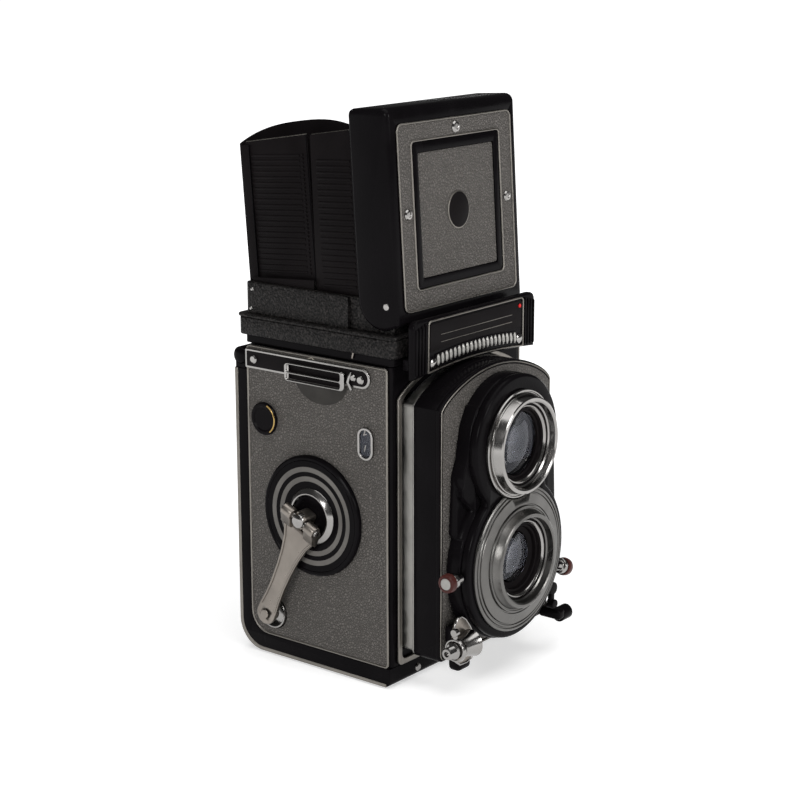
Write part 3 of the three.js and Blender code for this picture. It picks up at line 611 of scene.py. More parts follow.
# ---- crank --------------------------------------------------------------------------------------
def crank():
    face = LEFT - 0.3
    hub = lathe("crank_hub_boss", CHROME, "x", bevelled([
        (0, face - 1.9), (7.6, face - 2.0), (8.0, face - 2.6), (8.6, face - 2.6), (10.3, face - 1.2),
        (10.3, face), (0, face)], 0.2), (0, 0, 0), 96, "crank")
    dish = lathe("hub_dish", ENAMEL, "x", [
        (0, face - 2.0), (7.5, face - 2.1), (7.5, face - 1.8), (0, face - 1.8)], (0, 0, 0), 72, "crank")
    block_part = block("hub_block", SATIN, (-47.8, face - 1.2), (-2.7, 2.7), (-2.7, 2.7), 1.1, "crank", 4)
    screw = lathe("hub_screw", CHROME, "x",
        [(0, -48.6), (1.6, -48.5), (2.5, -48.0), (2.9, -47.2), (2.9, -46), (0, -46)],
                  (0, 0, 0), 48, "crank")
    put(join("crank_hub_boss", hub, dish, block_part, screw), "crank_hub", "chrome", "crank_hub")
    pin = lathe("crank_hinge_pin", CHROME, "y", bevelled([
        (0, -8.6), (1.2, -8.6), (1.2, 8.6), (0, 8.6)], 0.3), (-46.5, 0, 0), 32, "crank")
    put(pin, "crank_hub", "satin_nickel", "crank_pin")

    # blade outline: across the arm (y) and down it (z), narrowing then widening to the knob
    right = [(8.0, -3.4), (7.4, -6.5), (5.6, -11), (4.4, -17), (3.7, -24), (3.4, -31), (3.6, -37),
        (4.1, -41.5)]
    tip = arc(0, -44.5, 4.15, 0, -180, 16)
    left = [(-y, z) for y, z in reversed(right)]
    blade = slab("arm_blade", SATIN, "x", [right + tip + left], -44.4, -42.6, 0.45, "crank")
    cutter = block("arm_gap", SATIN, (-50, -40), (-3.3, 3.3), (-5.2, 6), 0.6, "crank")
    hole = lathe("arm_hole", SATIN, "x", [(0, -50), (1.5, -50), (1.5, -40), (0, -40)], (0, 0, -44.5), 32,
        "crank")
    carve(blade, cutter, hole)
    ears = []
    for side in (-1, 1):
        low, high = span(side, 3.4, 8.0)
        outline = arc(-46.5, 0, 2.25, 60, 240, 12) + [(-46.2, -5.6), (-43.4, -7.4), (-42.62, -6.5),
            (-42.62, -2.2)]
        bm = slab_mesh([[(x, z) for x, z in outline]], low, high, 0.35)
        bm.transform(Matrix(((1, 0, 0), (0, 0, 1), (0, 1, 0))).to_4x4())
        bmesh.ops.reverse_faces(bm, faces=bm.faces)
        ears.append(finish_mesh(f"arm_ear_{side}", bm, SATIN, "crank"))
    ridges = []
    for edge_side in (-1, 1):
        line = [(-44.4, edge_side * (abs(y) - 0.75), z) for y, z in right[1:]]
        ridges.append(wire(f"arm_ridge_{edge_side + 1}", SATIN, line, 0.42, tilt="crank", sides=10))
    arm = join("crank_arm_blade", blade, *ears, *ridges)
    put(arm, "crank_arm", "satin_nickel", "crank_arm")
    knob = lathe("crank_knob_turned", SATIN, "x", bevelled([
        (0, -40.3), (3.3, -40.3), (3.3, -42.3), (1.2, -42.3), (1.2, -44.45), (1.7, -44.5), (1.6, -44.95),
        (0, -45.05),
    ], 0.25), (0, 0, -44.5), 48, "crank")
    put(knob, "crank_knob", "satin_nickel", "crank_knob")


# ---- right side: focusing knob and spool knobs ----------------------------------------------------
def knurl(teeth, depth, low, high, from_radius):
    def shape(angle, radius, height):
        if radius < from_radius or not low <= height <= high:
            return radius
        return radius - depth * (0.5 + 0.5 * math.cos(teeth * angle))
    return shape


def right_side():
    base = RIGHT + 0.3
    profile = [(0, base), (16.5, base), (16.5, base + 4.6), (17.6, base + 4.8), (18.4, base + 5.6),
        (18.5, base + 6.2), (18.5, base + 13), (18.2, base + 14), (17.2, base + 15), (16.2, base + 15.9),
               (14.6, base + 16),
               (14.2, base + 15.3), (4.6, base + 15.2), (4.4, base + 15.7), (3.4, base + 15.9),
               (0, base + 15.9)]
    knob = lathe("focus_knob_turned", ALLOY, "x", profile, (0, *FOCUS), 288,
                 flute=knurl(72, 0.5, base + 5.9, base + 13.2, 18))
    put(knob, "focus_knob", "satin_alloy", "focus_knob")
    ring = lathe("focus_scale", ENAMEL, "x", [
        (5.2, base + 15.15), (5.2, base + 15.35), (13.6, base + 15.45), (13.6, base + 15.15),
        (5.2, base + 15.15)],
        (0, *FOCUS), 96)
    ticks = []
    for i in range(24):
        turn = 2 * math.pi * i / 24
        long = 2.2 if i % 3 == 0 else 1.2
        tick = block(f"tick_{i}", IVORY, (base + 15.3, base + 15.5), (12.6 - long, 12.6), (-0.14, 0.14), 0.03)
        reshape(tick, Matrix.Translation((0, *FOCUS)) @ Matrix.Rotation(turn, 4, "X"))
        ticks.append(tick)
    put(join("focus_scale", ring, *ticks), "focus_knob", "black_lacquer")
    for name, at in (("takeup_spool_knob", TAKEUP), ("supply_spool_knob", SUPPLY)):
        knob = lathe(name + "_turned", ALLOY, "x", bevelled([
            (0, base), (7.6, base), (7.6, base + 0.8), (8.5, base + 1.0), (8.5, base + 3.8),
            (7.6, base + 4.4), (5.6, base + 4.4), (5.2, base + 3.8), (0, base + 3.6)], 0.12), (0, *at), 192,
            flute=knurl(48, 0.4, base + 1.1, base + 3.7, 8.3))
        shaft = lathe(name + "_shaft", ALLOY, "x", [(0, 27.5), (2.2, 27.5), (2.2, base), (0, base)],
            (0, *at), 32)
        put(join(name + "_turned", knob, shaft), name, "satin_alloy", name)


# ---- front: bezel, board, housing, lenses ---------------------------------------------------------
def arched(half, bottom, shoulder, crown, corner=2.0, shoulder_r=4.0, steps=28):
    """Front outline (z, x): flat foot, straight sides, rounded shoulders and a shallow arch."""
    points = [(bottom + corner, -half)] + [
        (bottom + corner - corner * math.sin(t), -half + corner - corner * math.cos(t))
        for t in (math.pi / 2 * i / 5 for i in range(1, 6))]
    points += [(z, -x) for z, x in reversed(points)]
    top = []
    for i in range(steps + 1):
        x = half * math.cos(math.pi * i / steps)
        rise = (crown - shoulder) * (1 - (x / half) ** 2)
        top.append((shoulder - shoulder_r * 0.35 * abs(x / half) ** 14 + rise, x))
    return points + top


def front_frame():
    bezel = slab("front_bezel_ring", TRIM, "y", [
        arched(35.3, 7.6, 106, 115.4), arched(33.3, 9.6, 104.5, 114.2)], -1.3, -0.3, 0.3)
    put(bezel, "body", "satin_nickel", "front_bezel")
    collar = slab("standard_collar", SLEEVE, "y", [
        arched(31.2, 13.6, 102.2, 111.8), arched(30.2, 14.6, 101.2, 110.6)], -8, 0.4, 0.2)
    put(collar, "body", "satin_nickel")
    for i, x in enumerate((-23, 23)):
        screw = lathe(f"front_screw_{i}", CHROME, "y", [
            (0, -0.75), (1.0, -0.7), (1.45, -0.2), (1.45, 0.2), (0, 0.2)], (x, 0, 3.3), 32)
        put(screw, "back", "chrome")


def openings():
    """The two round lens openings through the board and the housing."""
    return [circle(TAKING, 0, 22.4, 72), circle(VIEWING, 0, 17, 64)]


def lens_board():
    face = slab("board_face", ENAMEL, "y", [arched(33, 11.8, 104, 113.9)] + openings(), -17.3, -15.2, 0.5)
    skirt = slab("board_skirt", ENAMEL, "y", [
        arched(33, 11.8, 104, 113.9), arched(31.5, 13.3, 102.5, 112.2)], -15.6, -5.9, 0.25)
    put(join("board_shell", face, skirt), "front_standard", "black_lacquer", "lens_board")
    sleeve = slab("standard_sleeve", SLEEVE, "y", [
        rounded(13.1, 102.6, -32.0, 32.0, 1.2), rounded(14.3, 101.4, -30.8, 30.8, 0.6)], -5.95, 2.4, 0.15)
    collar = slab("sleeve_collar", SLEEVE, "y", [
        arched(32.7, 12.1, 103.7, 113.5), arched(31.5, 13.3, 102.5, 112.2)], -5.95, -5.05, 0.15)
    put(join("standard_sleeve", sleeve, collar), "front_standard", "satin_nickel")
    outline = [(x, -17.45, z) for z, x in arched(32.3, 12.6, 103.4, 113.1)]
    put(wire("board_rim", TRIM, outline, 0.26, True), "front_standard", "chrome")
    hide = slab("board_leather", LEATHER, "y", [arched(31.6, 13.4, 102.8, 112.3)] + openings(), -17.75,
        -17.25, 0.15)
    put(hide, "front_standard", "grey_leather")


def figure_eight(r_low, r_high):
    """Outline (z, x) of two discs about the lens axes, joined where they cross."""
    gap = VIEWING - TAKING
    low_reach = (gap ** 2 + r_low ** 2 - r_high ** 2) / (2 * gap)
    half = math.sqrt(r_low ** 2 - low_reach ** 2)
    a_low = math.degrees(math.atan2(half, low_reach))
    a_high = math.degrees(math.atan2(half, low_reach - gap))
    lower = arc(TAKING, 0, r_low, a_low + 3, 360 - a_low - 3, 60)
    upper = arc(VIEWING, 0, r_high, -a_high + 3, a_high - 3, 48)
    return lower + upper


def housing():
    left = [(102.2, 19.4), (95.8, 22.8), (89, 24.4), (84.6, 25), (79, 27.5), (70, 28), (58, 28.6)]
    lower = arc(TAKING, 0, 29.9, 66, 294, 60)
    base_outline = [(z, x) for z, x in left] + lower + [(z, -x) for z, x in reversed(left)]
    cap = [(VIEWING + 24.6 * math.cos(t), -24.6 * math.sin(t)) for t in
           (math.radians(a) for a in range(48, -49, -8))]
    base = slab("housing_base", ENAMEL, "y", [base_outline + cap] + openings(), -23.4, -17.6, 0.7)
    top = slab("housing_top", ENAMEL, "y", [figure_eight(29.2, 24.6)] + openings(), -26.6, -23.0, 1.1)
    track = slab("lever_track", ENAMEL, "y", [
        arc(TAKING, 0, 39.6, -104, -44, 24) + arc(TAKING, 0, 30.1, -44, -104, 24)], -27.2, -20.6, 0)
    carve(base, track)
    put(join("housing_shell", base, top), "front_standard", "black_lacquer", "lens_housing")


def lens_group(tag, z, big):
    """Mount ring, black barrel with its rings, front glass, inner glass."""
    if big:
        rim = [(26.4, -26.8), (26.4, -27.5), (26.0, -27.8), (25.5, -27.8), (25.3, -27.4), (25.0, -27.4),
               (24.8, -27.9), (24.2, -28.0), (24.0, -27.6), (23.7, -27.6), (23.5, -28.2), (19.9, -28.7),
               (19.7, -28.3), (19.4, -28.3), (19.2, -29.1), (18.7, -29.2), (18.5, -28.9), (18.2, -28.9)]
        mat, slot = ALLOY, "satin_alloy"
    else:
        rim = [(19.4, -26.8), (19.4, -27.6), (19.1, -28.0), (18.7, -28.0), (18.5, -27.6), (18.3, -27.6),
               (18.1, -28.5), (17.8, -28.6)]
        mat, slot = CHROME, "chrome"
    front = [(17.5, -30.2), (17.2, -31.6), (16.8, -31.9), (16.0, -32.0), (15.5, -31.7), (15.2, -29.4),
             (14.7, -29.0), (14.6, -27.0)]
    back = [(14.6, -14.5), (16.6, -14.5), (16.6, -26.8), (rim[0][0], -26.8)]
    mount = lathe(f"{tag}_mount_ring", mat, "y", rim + front + back, (0, 0, z), 128, turn=20)
    if big:
        keep = lathe("viewing_clear", mat, "y", [(0, -40), (19.7, -40), (19.7, 0), (0, 0)], (0, 0, VIEWING),
            96)
        carve(mount, keep)
    put(mount, "front_standard", slot, f"{tag}_mount")
    neck = 9.4 if big else 11.4
    tube = lathe(f"{tag}_barrel", MATT, "y", [
        (14.5, -28.8), (13.4, -28.8), (13.2, -28.1), (12.5, -27.8), (12.2, -26.9), (11.5, -26.7),
        (11.2, -25.5),
        (neck, -24.8), (neck - 0.2, -23.0), (7.6, -22.0), (7.2, -17.2), (0, -17.0), (0, -14.4), (14.5, -14.4),
        (14.5, -28.8)], (0, 0, z), 96, turn=25)
    put(tube, "front_standard", "black_plastic")
    ring = lathe(f"{tag}_retainer", CHROME, "y", [
        (12.9, -28.3), (13.1, -28.6), (13.5, -28.95), (13.8, -28.95), (13.8, -28.6), (12.9, -28.3)],
        (0, 0, z), 96)
    put(ring, "front_standard", "chrome")
    lens_r = 8.9 if big else 11.1
    front_y = -25.2 if big else -26.2
    bulge = 1.7 if big else 1.9
    curve_front = [(lens_r * i / 10, front_y - bulge * (1 - (i / 10) ** 2)) for i in range(11)]
    curve_back = [(lens_r * i / 10, front_y + 1.6 + 0.5 * (1 - (i / 10) ** 2)) for i in range(10, -1, -1)]
    front_glass = lathe(f"{tag}_front_glass", GLASS, "y", curve_front + curve_back, (0, 0, z), 72, turn=40)
    put(front_glass, "front_standard", "coated_glass", f"{tag}_lens")
    inner_front = [(7 * i / 8, -20.8 - 1.1 * (1 - (i / 8) ** 2)) for i in range(9)]
    inner_back = [(7 * i / 8, -19.8 + 0.8 * (1 - (i / 8) ** 2)) for i in range(8, -1, -1)]
    inner = lathe(f"{tag}_inner_glass", GLASS, "y", inner_front + inner_back, (0, 0, z), 64, turn=40)
    put(inner, "front_standard", "coated_glass")
    iris = lathe(f"{tag}_iris", PLASTIC, "y", [
        (3.0, -18.4), (7.1, -18.2), (7.1, -17.9), (3.0, -18.1), (3.0, -18.4)], (0, 0, z), 10 if big else 64)
    put(iris, "front_standard", "black_plastic")


def front_controls():
    for name, angle in (("speed_lever", 180), ("aperture_lever", 21)):
        spin = Matrix.Translation((0, 0, TAKING)) @ Matrix.Rotation(math.radians(angle), 4, "Y")
        stalk = lathe(name + "_stalk", CHROME, "x", bevelled([
            (0, 30.4), (2.0, 30.4), (2.0, 33.2), (2.9, 33.6), (2.9, 35.4), (2.2, 35.8), (0, 35.8)], 0.25),
            (0, LEVER_Y, 0), 48)
        knob = lathe(name + "_knob", BROWN, "x", bevelled([
            (2.0, 35.6), (3.2, 35.6), (3.4, 36.4), (3.2, 38.2), (2.3, 38.5), (2.0, 38.2), (2.0, 35.6)], 0.2),
            (0, LEVER_Y, 0), 64)
        end = lathe(name + "_end", SLEEVE, "x", bevelled([
            (0, 36), (2.15, 36), (2.15, 38.25), (1.9, 38.45), (0, 38.45)], 0.1), (0, LEVER_Y, 0), 48)
        link_bar = block(name + "_bar", ENAMEL, (30.3, 33), (LEVER_Y - 1.9, LEVER_Y + 1.9), (-1.4, 1.4), 0.4)
        part = join(name + "_head", stalk, knob, end, link_bar)
        reshape(part, spin)
        put(part, name, "brown_plastic", name)

    plate_outline = [(11.2, -24.5), (11.4, -28.5), (13.4, -31.0), (17, -32.0), (22, -32.1), (26.5, -31.4),
                     (28.7, -29.8), (28.9, -27.4), (27.3, -25), (24, -22.4), (20.5, -20.5), (17, -19.2),
                     (14, -19.4), (11.9, -21.4)]
    plate = slab("release_cover", SATIN, "y", [plate_outline], -22.8, -21.8, 0.35)
    edge = [(x * 0.985 - 0.4, -22.75, z) for z, x in plate_outline]
    rim = wire("release_rim", CHROME, edge, 0.4, True)
    stand = block("release_stand", ENAMEL, (-30.4, -22.4), (-22, -17.6), (12.8, 25), 0.8)
    cone = lathe("release_cone", CHROME, "x", [
        (2.6, -25.2), (4.9, -25.2), (4.5, -26.4), (3.7, -29.4), (3.4, -31.6), (3.1, -31.9), (2.6, -31.9),
        (2.6, -25.2)], (0, RELEASE_Y, RELEASE_Z), 64, turn=25)
    put(join("release_cover", plate, rim, stand, cone), "front_standard", "chrome", "release_plate")
    dot = lathe("release_dot", RED, "y", bevelled([(0, -23.1), (0.8, -23.1), (0.8, -22.6), (0, -22.6)], 0.1),
                (-20.7, 0, 17.6), 24)
    put(dot, "front_standard", "brown_plastic")
    bulge = block("release_foot", ENAMEL, (-28.6, -21), (-22.6, -17.4), (8.2, 14.5), 1.7, steps=5)
    put(bulge, "front_standard", "black_lacquer")
    thread = [(0, -38.4), (0.9, -38.4), (1.0, -39.6), (1.8, -39.6), (2.1, -39.3)]
    for i in range(4):
        start = -39.0 + 0.7 * i
        thread += [(2.15, start), (1.85, start + 0.35)]
    thread += [(2.15, -36.2), (2.9, -35.9), (3.1, -34.6), (2.2, -34.4), (2.2, -28.4), (0, -28.4)]
    nipple = lathe("release_nipple", CHROME, "x", thread, (0, RELEASE_Y, RELEASE_Z), 48, turn=25)
    put(nipple, "release_button", "chrome", "release_button")
    ring = lathe("lock_ring", CHROME, "x", bevelled([
        (3.5, -35.2), (4.0, -35.2), (4.3, -33.7), (3.5, -33.7), (3.5, -35.2)], 0.15),
            (0, RELEASE_Y, RELEASE_Z), 56)
    stem = block("lock_stem", CHROME, (-35.0, -33.9), (RELEASE_Y - 0.7, RELEASE_Y + 0.7), (22.4, 25.6), 0.3)
    grip = lathe("lock_grip", CHROME, "x", bevelled([
        (0, -35.6), (1.4, -35.6), (1.4, -33.6), (0, -33.6)], 0.3), (0, RELEASE_Y, 25.6), 32)
    put(join("lock_ring", ring, stem, grip), "release_lock_lever", "chrome", "release_lock_lever")
    socket = lathe("flash_socket_rim", ENAMEL, "x", bevelled([
        (1.6, 31), (2.8, 31), (2.8, 36.6), (1.6, 36.6), (1.6, 31)], 0.3), (0, -24, 12.8), 48)
    seat = block("flash_socket_seat", ENAMEL, (27.5, 31.5), (-26.8, -17.6), (11.9, 15.6), 0.9)
    put(join("flash_socket_seat", seat, socket), "front_standard", "satin_nickel", "flash_socket")
    lever = block("timer_bar", ENAMEL, (26.4, 28.6), (-24, -22.2), (18, 24), 0.4)
    boss = lathe("timer_boss", ENAMEL, "y", bevelled([
        (0, -24.3), (2.4, -24.3), (2.4, -17.6), (0, -17.6)], 0.3), (27.5, 0, 24), 40)
    tip = lathe("timer_grip", ENAMEL, "y", bevelled([
        (0, -25), (1.8, -25), (1.8, -22), (0, -22)], 0.3), (27.5, 0, 18), 36)
    put(join("timer_bar", lever, boss, tip), "self_timer_lever", "black_plastic", "self_timer_lever")


# ---- nameplate ------------------------------------------------------------------------------------
def nameplate():
    def outline(half, low, rise, top, r=2.6):
        steps = 20
        bottom = [(low + rise * (1 - (x / half) ** 2), x) for x in
                  (-half * math.cos(math.pi * i / steps) for i in range(steps + 1))]
        return bottom + arc(top - r, half - r, r, 90, 0, 6) + arc(top - r, -half + r, r, 0, -90, 6)

    plate = slab("nameplate_casting", ENAMEL, "y", [outline(35.6, 112.2, 2.0, 132.3)], -8.2, -5.4, 0.7)
    back = block("nameplate_foot", ENAMEL, (-34, 34), (-5.5, -2), (114.8, 118.6), 0.3)
    ribs = []
    for side in (-1, 1):
        for i in range(4):
            x = side * (29.3 + 1.7 * i)
            ribs.append(block(f"nameplate_rib_{side}_{i}", ENAMEL, (x - 0.5, x + 0.5), (-8.9, -7.8),
                              (113.6, 131.2 - 0.5 * i), 0.45))
    put(join("nameplate_casting", plate, back, *ribs), "body", "black_lacquer", "nameplate")
    rim = [(x, -8.45, z) for z, x in outline(27.9, 113.6, 1.6, 131.4, 1.6)]
    put(wire("nameplate_rim", TRIM, rim, 0.34, True), "body", "chrome")
    panel = slab("nameplate_panel", MATT, "y", [outline(27.0, 120.6, 0.9, 130.4, 1.0)], -8.5, -8.1, 0.1)
    lines = [wire(f"panel_line_{i}", TRIM, [(-21, -8.5, 123.4 + 2.6 * i), (21, -8.5, 123.4 + 2.6 * i)], 0.16)
             for i in range(2)]
    put(join("nameplate_panel", panel, *lines), "body", "black_lacquer")
    # selenium meter window: a row of small moulded lenses in a shallow arch
    cells = []
    count = 20
    for i in range(count):
        x = -22.6 + 45.2 * i / (count - 1)
        z = 115.3 + 1.5 * (1 - (x / 24) ** 2)
        cell = lathe(f"meter_cell_{i}", SLEEVE, "y", [
            (0, -9.2), (0.45, -9.1), (0.72, -8.85), (0.8, -8.5), (0, -8.5)], (0, 0, 0), 16)
        reshape(cell, Matrix.Translation((x, 0, z + 1.9)) @ Matrix.Diagonal((1, 1, 2.6, 1)))
        cells.append(cell)
    put(join("meter_cells", *cells), "body", "satin_alloy", "meter_window")
    strip = slab("meter_back", ENAMEL, "y", [
        [(115.0 + 1.5 * (1 - (x / 24) ** 2), x) for x in range(-24, 25, 4)]
        + [(119.5 + 1.5 * (1 - (x / 24) ** 2), x) for x in range(24, -25, -4)]], -8.6, -8.1, 0.1)
    put(strip, "body", "black_lacquer")
    for side in (-1, 1):
        screw = lathe(f"meter_screw_{side + 1}", CHROME, "y", [
            (0, -9.4), (0.9, -9.3), (1.7, -8.8), (1.8, -8.2), (0, -8.2)], (side * 25.4, 0, 116.6), 32)
        put(screw, "body", "chrome")
    dot = lathe("nameplate_dot", RED, "y", bevelled([(0, -8.8), (0.7, -8.8), (0.7, -8.1), (0, -8.1)], 0.1),
                (25.6, 0, 128.6), 20)
    put(dot, "body", "brown_plastic")


# ---- hood -------------------------------------------------------------------------------------------
def hood_base():
    well = rounded(-33.7, 33.7, 2.4, 66.6, 1.0)
    screen_hole = rounded(-28.9, 28.9, 6.5, 62.9, 0.5)
    foot = slab("hood_foot", ENAMEL, "z", [rounded(-37.6, 37.6, -0.4, 67.6, 2), screen_hole], 116.1, 119.2,
        0.2)
    floor = slab("hood_floor", ENAMEL, "z", [rounded(-34.6, 34.6, 1.4, 67, 1), screen_hole], 118.4, 119.6,
        0.1)
    lower = slab("hood_lower", CRINKLE, "z", [rounded(-38.6, 38.6, -1.7, 70, 2.6), well], 119, 125.4, 0.5)
    lip = slab("hood_lip", CRINKLE, "z", [rounded(-38.6, 38.6, -1.7, 70.9, 2.8), well], 125.4, 126.6, 0.45)
    upper_outline = (arc(34.0, 1.7, 0.9, 270, 360, 4) + [(34.9, 20), (36.4, 20)] + arc(34.4, 66, 2, 0, 90, 6)
                     + arc(-34.4, 66, 2, 90, 180, 6) + [(-36.4, 20), (-34.9, 20)]
                     + arc(-34.0, 1.7, 0.9, 180, 270, 4))
    upper = slab("hood_upper", CRINKLE, "z", [upper_outline, well], 126.4, 138, 0.5)
    low_rear = block("hood_cut", CRINKLE, (-33.6, 33.6), (65, 75), (134.2, 140), 0.1)
    carve(upper, low_rear)
    put(join("hood_frame", foot, floor, lower, lip, upper), "body", "black_crinkle", "hood_base")
    for i, (y, z) in enumerate(((65.2, 128.4), (64.5, 135.4))):
        head = lathe(f"hood_rivet_{i}", CHROME, "x", [
            (0, -36.9), (0.45, -36.8), (0.7, -36.4), (0, -36.4)], (0, y, z), 16)
        put(head, "body", "chrome")
    for side in (-1, 1):
        low, high = span(side, 33.75, 34.4)
        strip = slab(f"hood_inner_strip_{side + 1}", MATT, "x",
            [[(66, 137), (66, 139.4), (37, 141.4), (37, 137)]],
                     low, high, 0.1)
        put(strip, "body", "black_lacquer")
    hook = wire("hood_catch", SATIN, [(-38.1, 16.2, 119.6), (-38.1, 16.8, 117.2)], 0.4)
    put(hook, "body", "chrome")


def ribbed_leaf(name, tilt, x, side, outline, ribs, mat):
    """A sheet leaf with raised ribs pressed in its outer face."""
    sheet = slab(name, mat, "x", [outline], x - 0.4, x + 0.4, 0.15, tilt)
    low, high, count, first, last = ribs
    bars = []
    for i in range(count):
        z = first + (last - first) * i / (count - 1)
        bars.append(block(f"{name}_rib_{i}", mat, sorted((x + side * 0.3, x + side * 0.65)), (low, high),
                          (z - 0.5, z + 0.5), 0.22, tilt, 2))
    return join(name, sheet, *bars)


def hood_walls():
    for side, tag in ((-1, "left"), (1, "right")):
        x = side * 31.2
        leaf = ribbed_leaf(f"rear_leaf_{tag}_sheet", "rear", x, side,
                           [(-30.5, 2.2), (-1.3, 2.2), (-1.3, 51), (-30.5, 53.5)],
                           (-26.5, -3.4, 22, 5.2, 46.2), MATT)
        edge = wire(f"rear_leaf_{tag}_edge", ENAMEL,
            [(x + side * 0.45, -30.0, 2.6), (x + side * 0.45, -30.0, 53.2)], 0.28,
                    tilt="rear")
        top = wire(f"rear_leaf_{tag}_top", TRIM, [(x, -30.2, 53.5), (x, -1.6, 51.05)], 0.26, tilt="rear")
        beads = []
        for i in range(30):
            z = 5 + 41.5 * i / 29
            beads.append(lathe(f"bead_{tag}_{i}", MATT, "x", [
                (0, side * 0.55), (0.35, side * 0.45), (0.5, 0), (0, 0)][::side],
                    (x + side * 0.35, -27.9, z), 10, "rear"))
        part = join(f"rear_leaf_{tag}_sheet", leaf, edge, top, *beads)
        put(part, f"rear_leaf_{tag}", "black_lacquer", f"rear_leaf_{tag}")

        x = side * 32.85
        leaf = ribbed_leaf(f"front_leaf_{tag}_sheet", "lid", x, side,
                           [(13.6, 2.3), (33.6, 2.3), (32.6, 57.5), (13.6, 59.3)],
                           (15.2, 30.4, 22, 5.4, 48.6), MATT)
        top = wire(f"front_leaf_{tag}_top", TRIM, [(x, 32.1, 57.5), (x, 13.9, 59.25)], 0.26, tilt="lid")
        part = join(f"front_leaf_{tag}_sheet", leaf, top)
        put(part, f"front_leaf_{tag}", "black_lacquer", f"front_leaf_{tag}")

    half, height, rise = 32.3, 50.6, 5.3
    steps = 28
    top = [(height + rise * (1 - abs(x / half) ** 2.6), x) for x in
           (half * math.cos(math.pi * i / steps) for i in range(steps + 1))]
    wall = slab("hood_rear_sheet", MATT, "y", [[(0.8, -half), (0.8, half)] + top], 0, 0.9, 0.2, "rear")
    flanges = [block(f"rear_flange_{side}", MATT, span(side, 31.9, 32.35), (-3.2, 0.6), (2.4, 50), 0.15,
        "rear")
               for side in (-1, 1)]
    rim = [wire(f"rear_rim_{side}", ENAMEL, [(side * 32.2, -3.2, 2.6), (side * 32.2, -3.2, 49.8)], 0.22,
        tilt="rear")
           for side in (-1, 1)]
    put(join("hood_rear_sheet", wall, *flanges, *rim), "hood_rear_wall", "black_lacquer", "hood_rear_wall")


def lid():
    front, back, low, high = -4.6, 12.9, -8.7, 66.6
    side_view = (arc(front + 1.6, low + 3.2, 1.6, 180, 250, 5) + arc(2.2, low + 10.7, 10.7, 262, 360, 16)
                 + arc(back - 2.4, high - 2.4, 2.4, 0, 90, 6) + arc(front + 3, high - 3, 3, 90, 180, 6))
    shell = slab("lid_shell", ENAMEL, "x", [side_view], -36.4, 36.4, 1.6, "lid")
    inner = block("lid_inner", ENAMEL, (-35.2, 35.2), (front + 1.2, back + 6), (low - 6, high - 1.2), 0.8,
        "lid")
    window = block("lid_window", ENAMEL, (-22.3, 22.3), (-10, 0), (7.1, 51.3), 0.3, "lid")
    pins = [lathe(f"lid_pin_{s}", CHROME, "x",
        bevelled([(0, 33.8 * s), (1.2, 33.8 * s), (1.2, 36.7 * s), (0, 36.7 * s)][::s], 0.2),
                  (0, 0, 0), 24, "lid") for s in (-1, 1)]
    carve(shell, inner, window)
    put(join("lid_shell", shell, *pins), "lid", "black_lacquer", "lid")
    hide = slab("lid_leather", LEATHER, "y", [
        rounded(-2.3, 60.5, -32, 32, 2.2), rounded(4.0, 54.8, -25.4, 25.4, 1.6)], front - 0.4, front + 0.1,
            0.15, "lid")
    put(hide, "lid", "grey_leather")
    rims = []
    for i, (a0, a1, half, r, thick) in enumerate(((-2.6, 60.8, 32.3, 2.4, 0.34),
        (4.1, 54.7, 25.2, 1.7, 0.36))):
        loop = [(x, front - 0.42, z) for z, x in rounded(a0, a1, -half, half, r, 5)]
        rims.append(wire(f"lid_rim_{i}", TRIM, loop, thick, True, "lid"))
    put(join("lid_rim", *rims), "lid", "chrome")
    frame_ring = slab("finder_frame", ENAMEL, "y", [
        rounded(4.5, 54.3, -24.8, 24.8, 1.4), rounded(7.1, 51.3, -22.3, 22.3, 0.6)], front - 0.3,
            front + 0.2, 0.2, "lid")
    put(frame_ring, "lid", "black_lacquer")
    for i, (x, z, r) in enumerate(((-28.6, 30.5, 1.9), (28.6, 30.5, 1.9), (0, 57.6, 2.1))):
        head = lathe(f"lid_button_{i}", CHROME, "y", [
            (0, front - 1.0), (r * 0.45, front - 1.0), (r * 0.5, front - 1.25), (r * 0.8, front - 1.2),
            (r, front - 0.7), (r, front - 0.2), (0, front - 0.2)], (x, 0, z), 40, "lid")
        put(head, "lid", "chrome")
    lip = slab("finder_lip", ENAMEL, "y", [
        rounded(5.2, 53.4, -24.2, 24.2, 1.2), rounded(7.7, 50.7, -21.7, 21.7, 0.6)], front - 0.5,
            front - 0.22, 0.1, "lid")
    put(lip, "lid", "black_lacquer")
    door = slab("door_plate", ENAMEL, "y", [rounded(7.4, 51, -22, 22, 0.6)], front + 0.15, front + 1.2, 0.2,
        "lid")
    skin = slab("door_leather", LEATHER, "y", [rounded(7.9, 50.5, -21.5, 21.5, 0.8)], front - 0.15,
        front + 0.3, 0.15, "lid")
    put(join("door_plate", skin, door), "finder_door", "grey_leather", "finder_door")

    def oval(tall, wide):
        return [(29 + tall * math.cos(t), wide * math.sin(t)) for t in
                (2 * math.pi * i / 48 for i in range(48))]

    badge_rim = slab("badge", TRIM, "y", [oval(6.6, 6.1)], front - 0.5, front - 0.05, 0.15, "lid")
    badge_face = slab("badge_face", MATT, "y", [oval(6.2, 5.7)], front - 0.62, front - 0.2, 0.1, "lid")
    put(join("badge", badge_rim, badge_face), "finder_door", "black_lacquer")


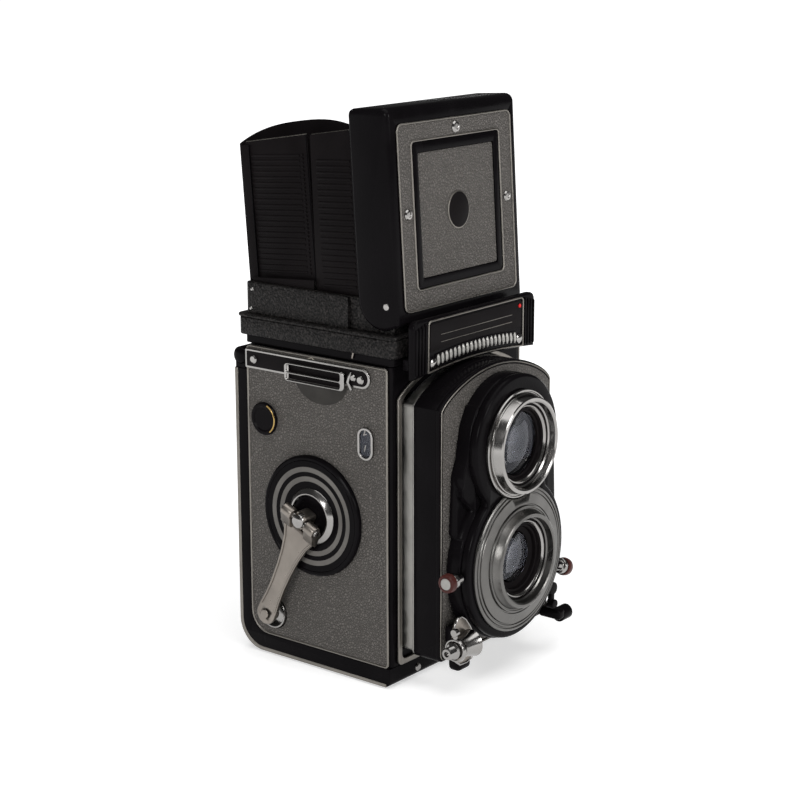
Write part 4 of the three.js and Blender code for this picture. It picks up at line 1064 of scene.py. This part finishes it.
def hood_inside():
    """Magnifier, ground glass, mirror and the small inner pieces keep their frame shapes."""
    for node, mat in (("magnifier_frame", PLASTIC), ("magnifier_lens", GLASS), ("focusing_screen", SCREEN),
                      ("mirror", MIRROR), ("body_casting", ENAMEL), ("shutter_body", ALLOY),
                      ("takeup_spool", PLASTIC), ("supply_spool", PLASTIC), ("upper_film_roller", CHROME),
                      ("lower_film_roller", CHROME), ("pressure_plate", MATT), ("back_latch", SATIN),
                      ("tripod_socket", BRASS), ("back_hinge_pin", CHROME)):
        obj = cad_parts[node]
        obj.data.materials.clear()
        obj.data.materials.append(mat)


# ---- stage, light, camera ---------------------------------------------------------------------------
def stage():
    bm = bmesh.new()
    bmesh.ops.create_circle(bm, cap_ends=True, radius=14, segments=64)
    mesh = bpy.data.meshes.new("floor")
    bm.to_mesh(mesh)
    bm.free()
    floor = bpy.data.objects.new("floor", mesh)
    bpy.context.scene.collection.objects.link(floor)
    mat, shader = material("pale_floor", (0.82, 0.82, 0.82), 0.9, Specular_IOR_Level=0.0)
    shader.inputs["Emission Color"].default_value = (1, 1, 1, 1)
    # The glow is weaker near the object (0.5 close in, 1.0 far out): painted shadow round the base.
    far = add_node(mat, "ShaderNodeVectorMath", operation="LENGTH")
    link(mat, position(mat), far.inputs[0])
    link(mat, spread(mat, far.outputs["Value"], 0.25, 0.9, 0.5, 1.0), shader.inputs["Emission Strength"])
    mesh.materials.append(mat)

    world = bpy.data.worlds.new("studio")
    bpy.context.scene.world = world
    world.use_nodes = True
    world.node_tree.nodes["Background"].inputs["Color"].default_value = (1, 1, 1, 1)
    world.node_tree.nodes["Background"].inputs["Strength"].default_value = 0.07

    def softbox(name, at, aim, size, power):
        data = bpy.data.lights.new(name, "AREA")
        data.shape = "RECTANGLE"
        data.size, data.size_y = size
        data.energy = power
        lamp = bpy.data.objects.new(name, data)
        lamp.location = at
        lamp.rotation_euler = (Vector(aim) - Vector(at)).to_track_quat("-Z", "Y").to_euler()
        bpy.context.scene.collection.objects.link(lamp)

    softbox("top_light", (0.0, -0.2, 2.2), (0, 0, 0.1), (2.4, 2.4), 38)
    softbox("front_light", (0.1, -1.5, 0.7), (0, 0, 0.1), (0.5, 0.5), 11)
    softbox("side_light", (-1.6, -0.3, 0.8), (0, 0, 0.1), (0.5, 0.5), 12)


def camera():
    azimuth, elevation, roll = math.radians(-51.58), math.radians(14.16), math.radians(-0.11)
    back = Vector((math.sin(azimuth) * math.cos(elevation), -math.cos(azimuth) * math.cos(elevation),
                   math.sin(elevation)))
    right = (-back).cross(Vector((0, 0, 1))).normalized()
    up = right.cross(-back).normalized()
    right, up = (right * math.cos(roll) + up * math.sin(roll), up * math.cos(roll) - right * math.sin(roll))
    data = bpy.data.cameras.new("camera")
    data.sensor_width = 36
    data.lens = 87.98
    data.clip_start = 0.02
    obj = bpy.data.objects.new("camera", data)
    bpy.context.scene.collection.objects.link(obj)
    obj.matrix_world = Matrix.Translation(ORIGIN + Vector((-541.5, -403.4, 267.7)) * MM) @ Matrix((
        (right.x, up.x, back.x), (right.y, up.y, back.y), (right.z, up.z, back.z))).to_4x4()
    bpy.context.scene.camera = obj
    bpy.context.scene.view_settings.view_transform = "Standard"


camera()
back_door()
for hand in (-1, 1):
    side_plate(hand)
    strap_plate(hand)
crank_side()
crank()
right_side()
front_frame()
lens_board()
housing()
lens_group("viewing", VIEWING, False)
lens_group("taking", TAKING, True)
front_controls()
nameplate()
hood_base()
hood_walls()
lid()
hood_inside()
stage()
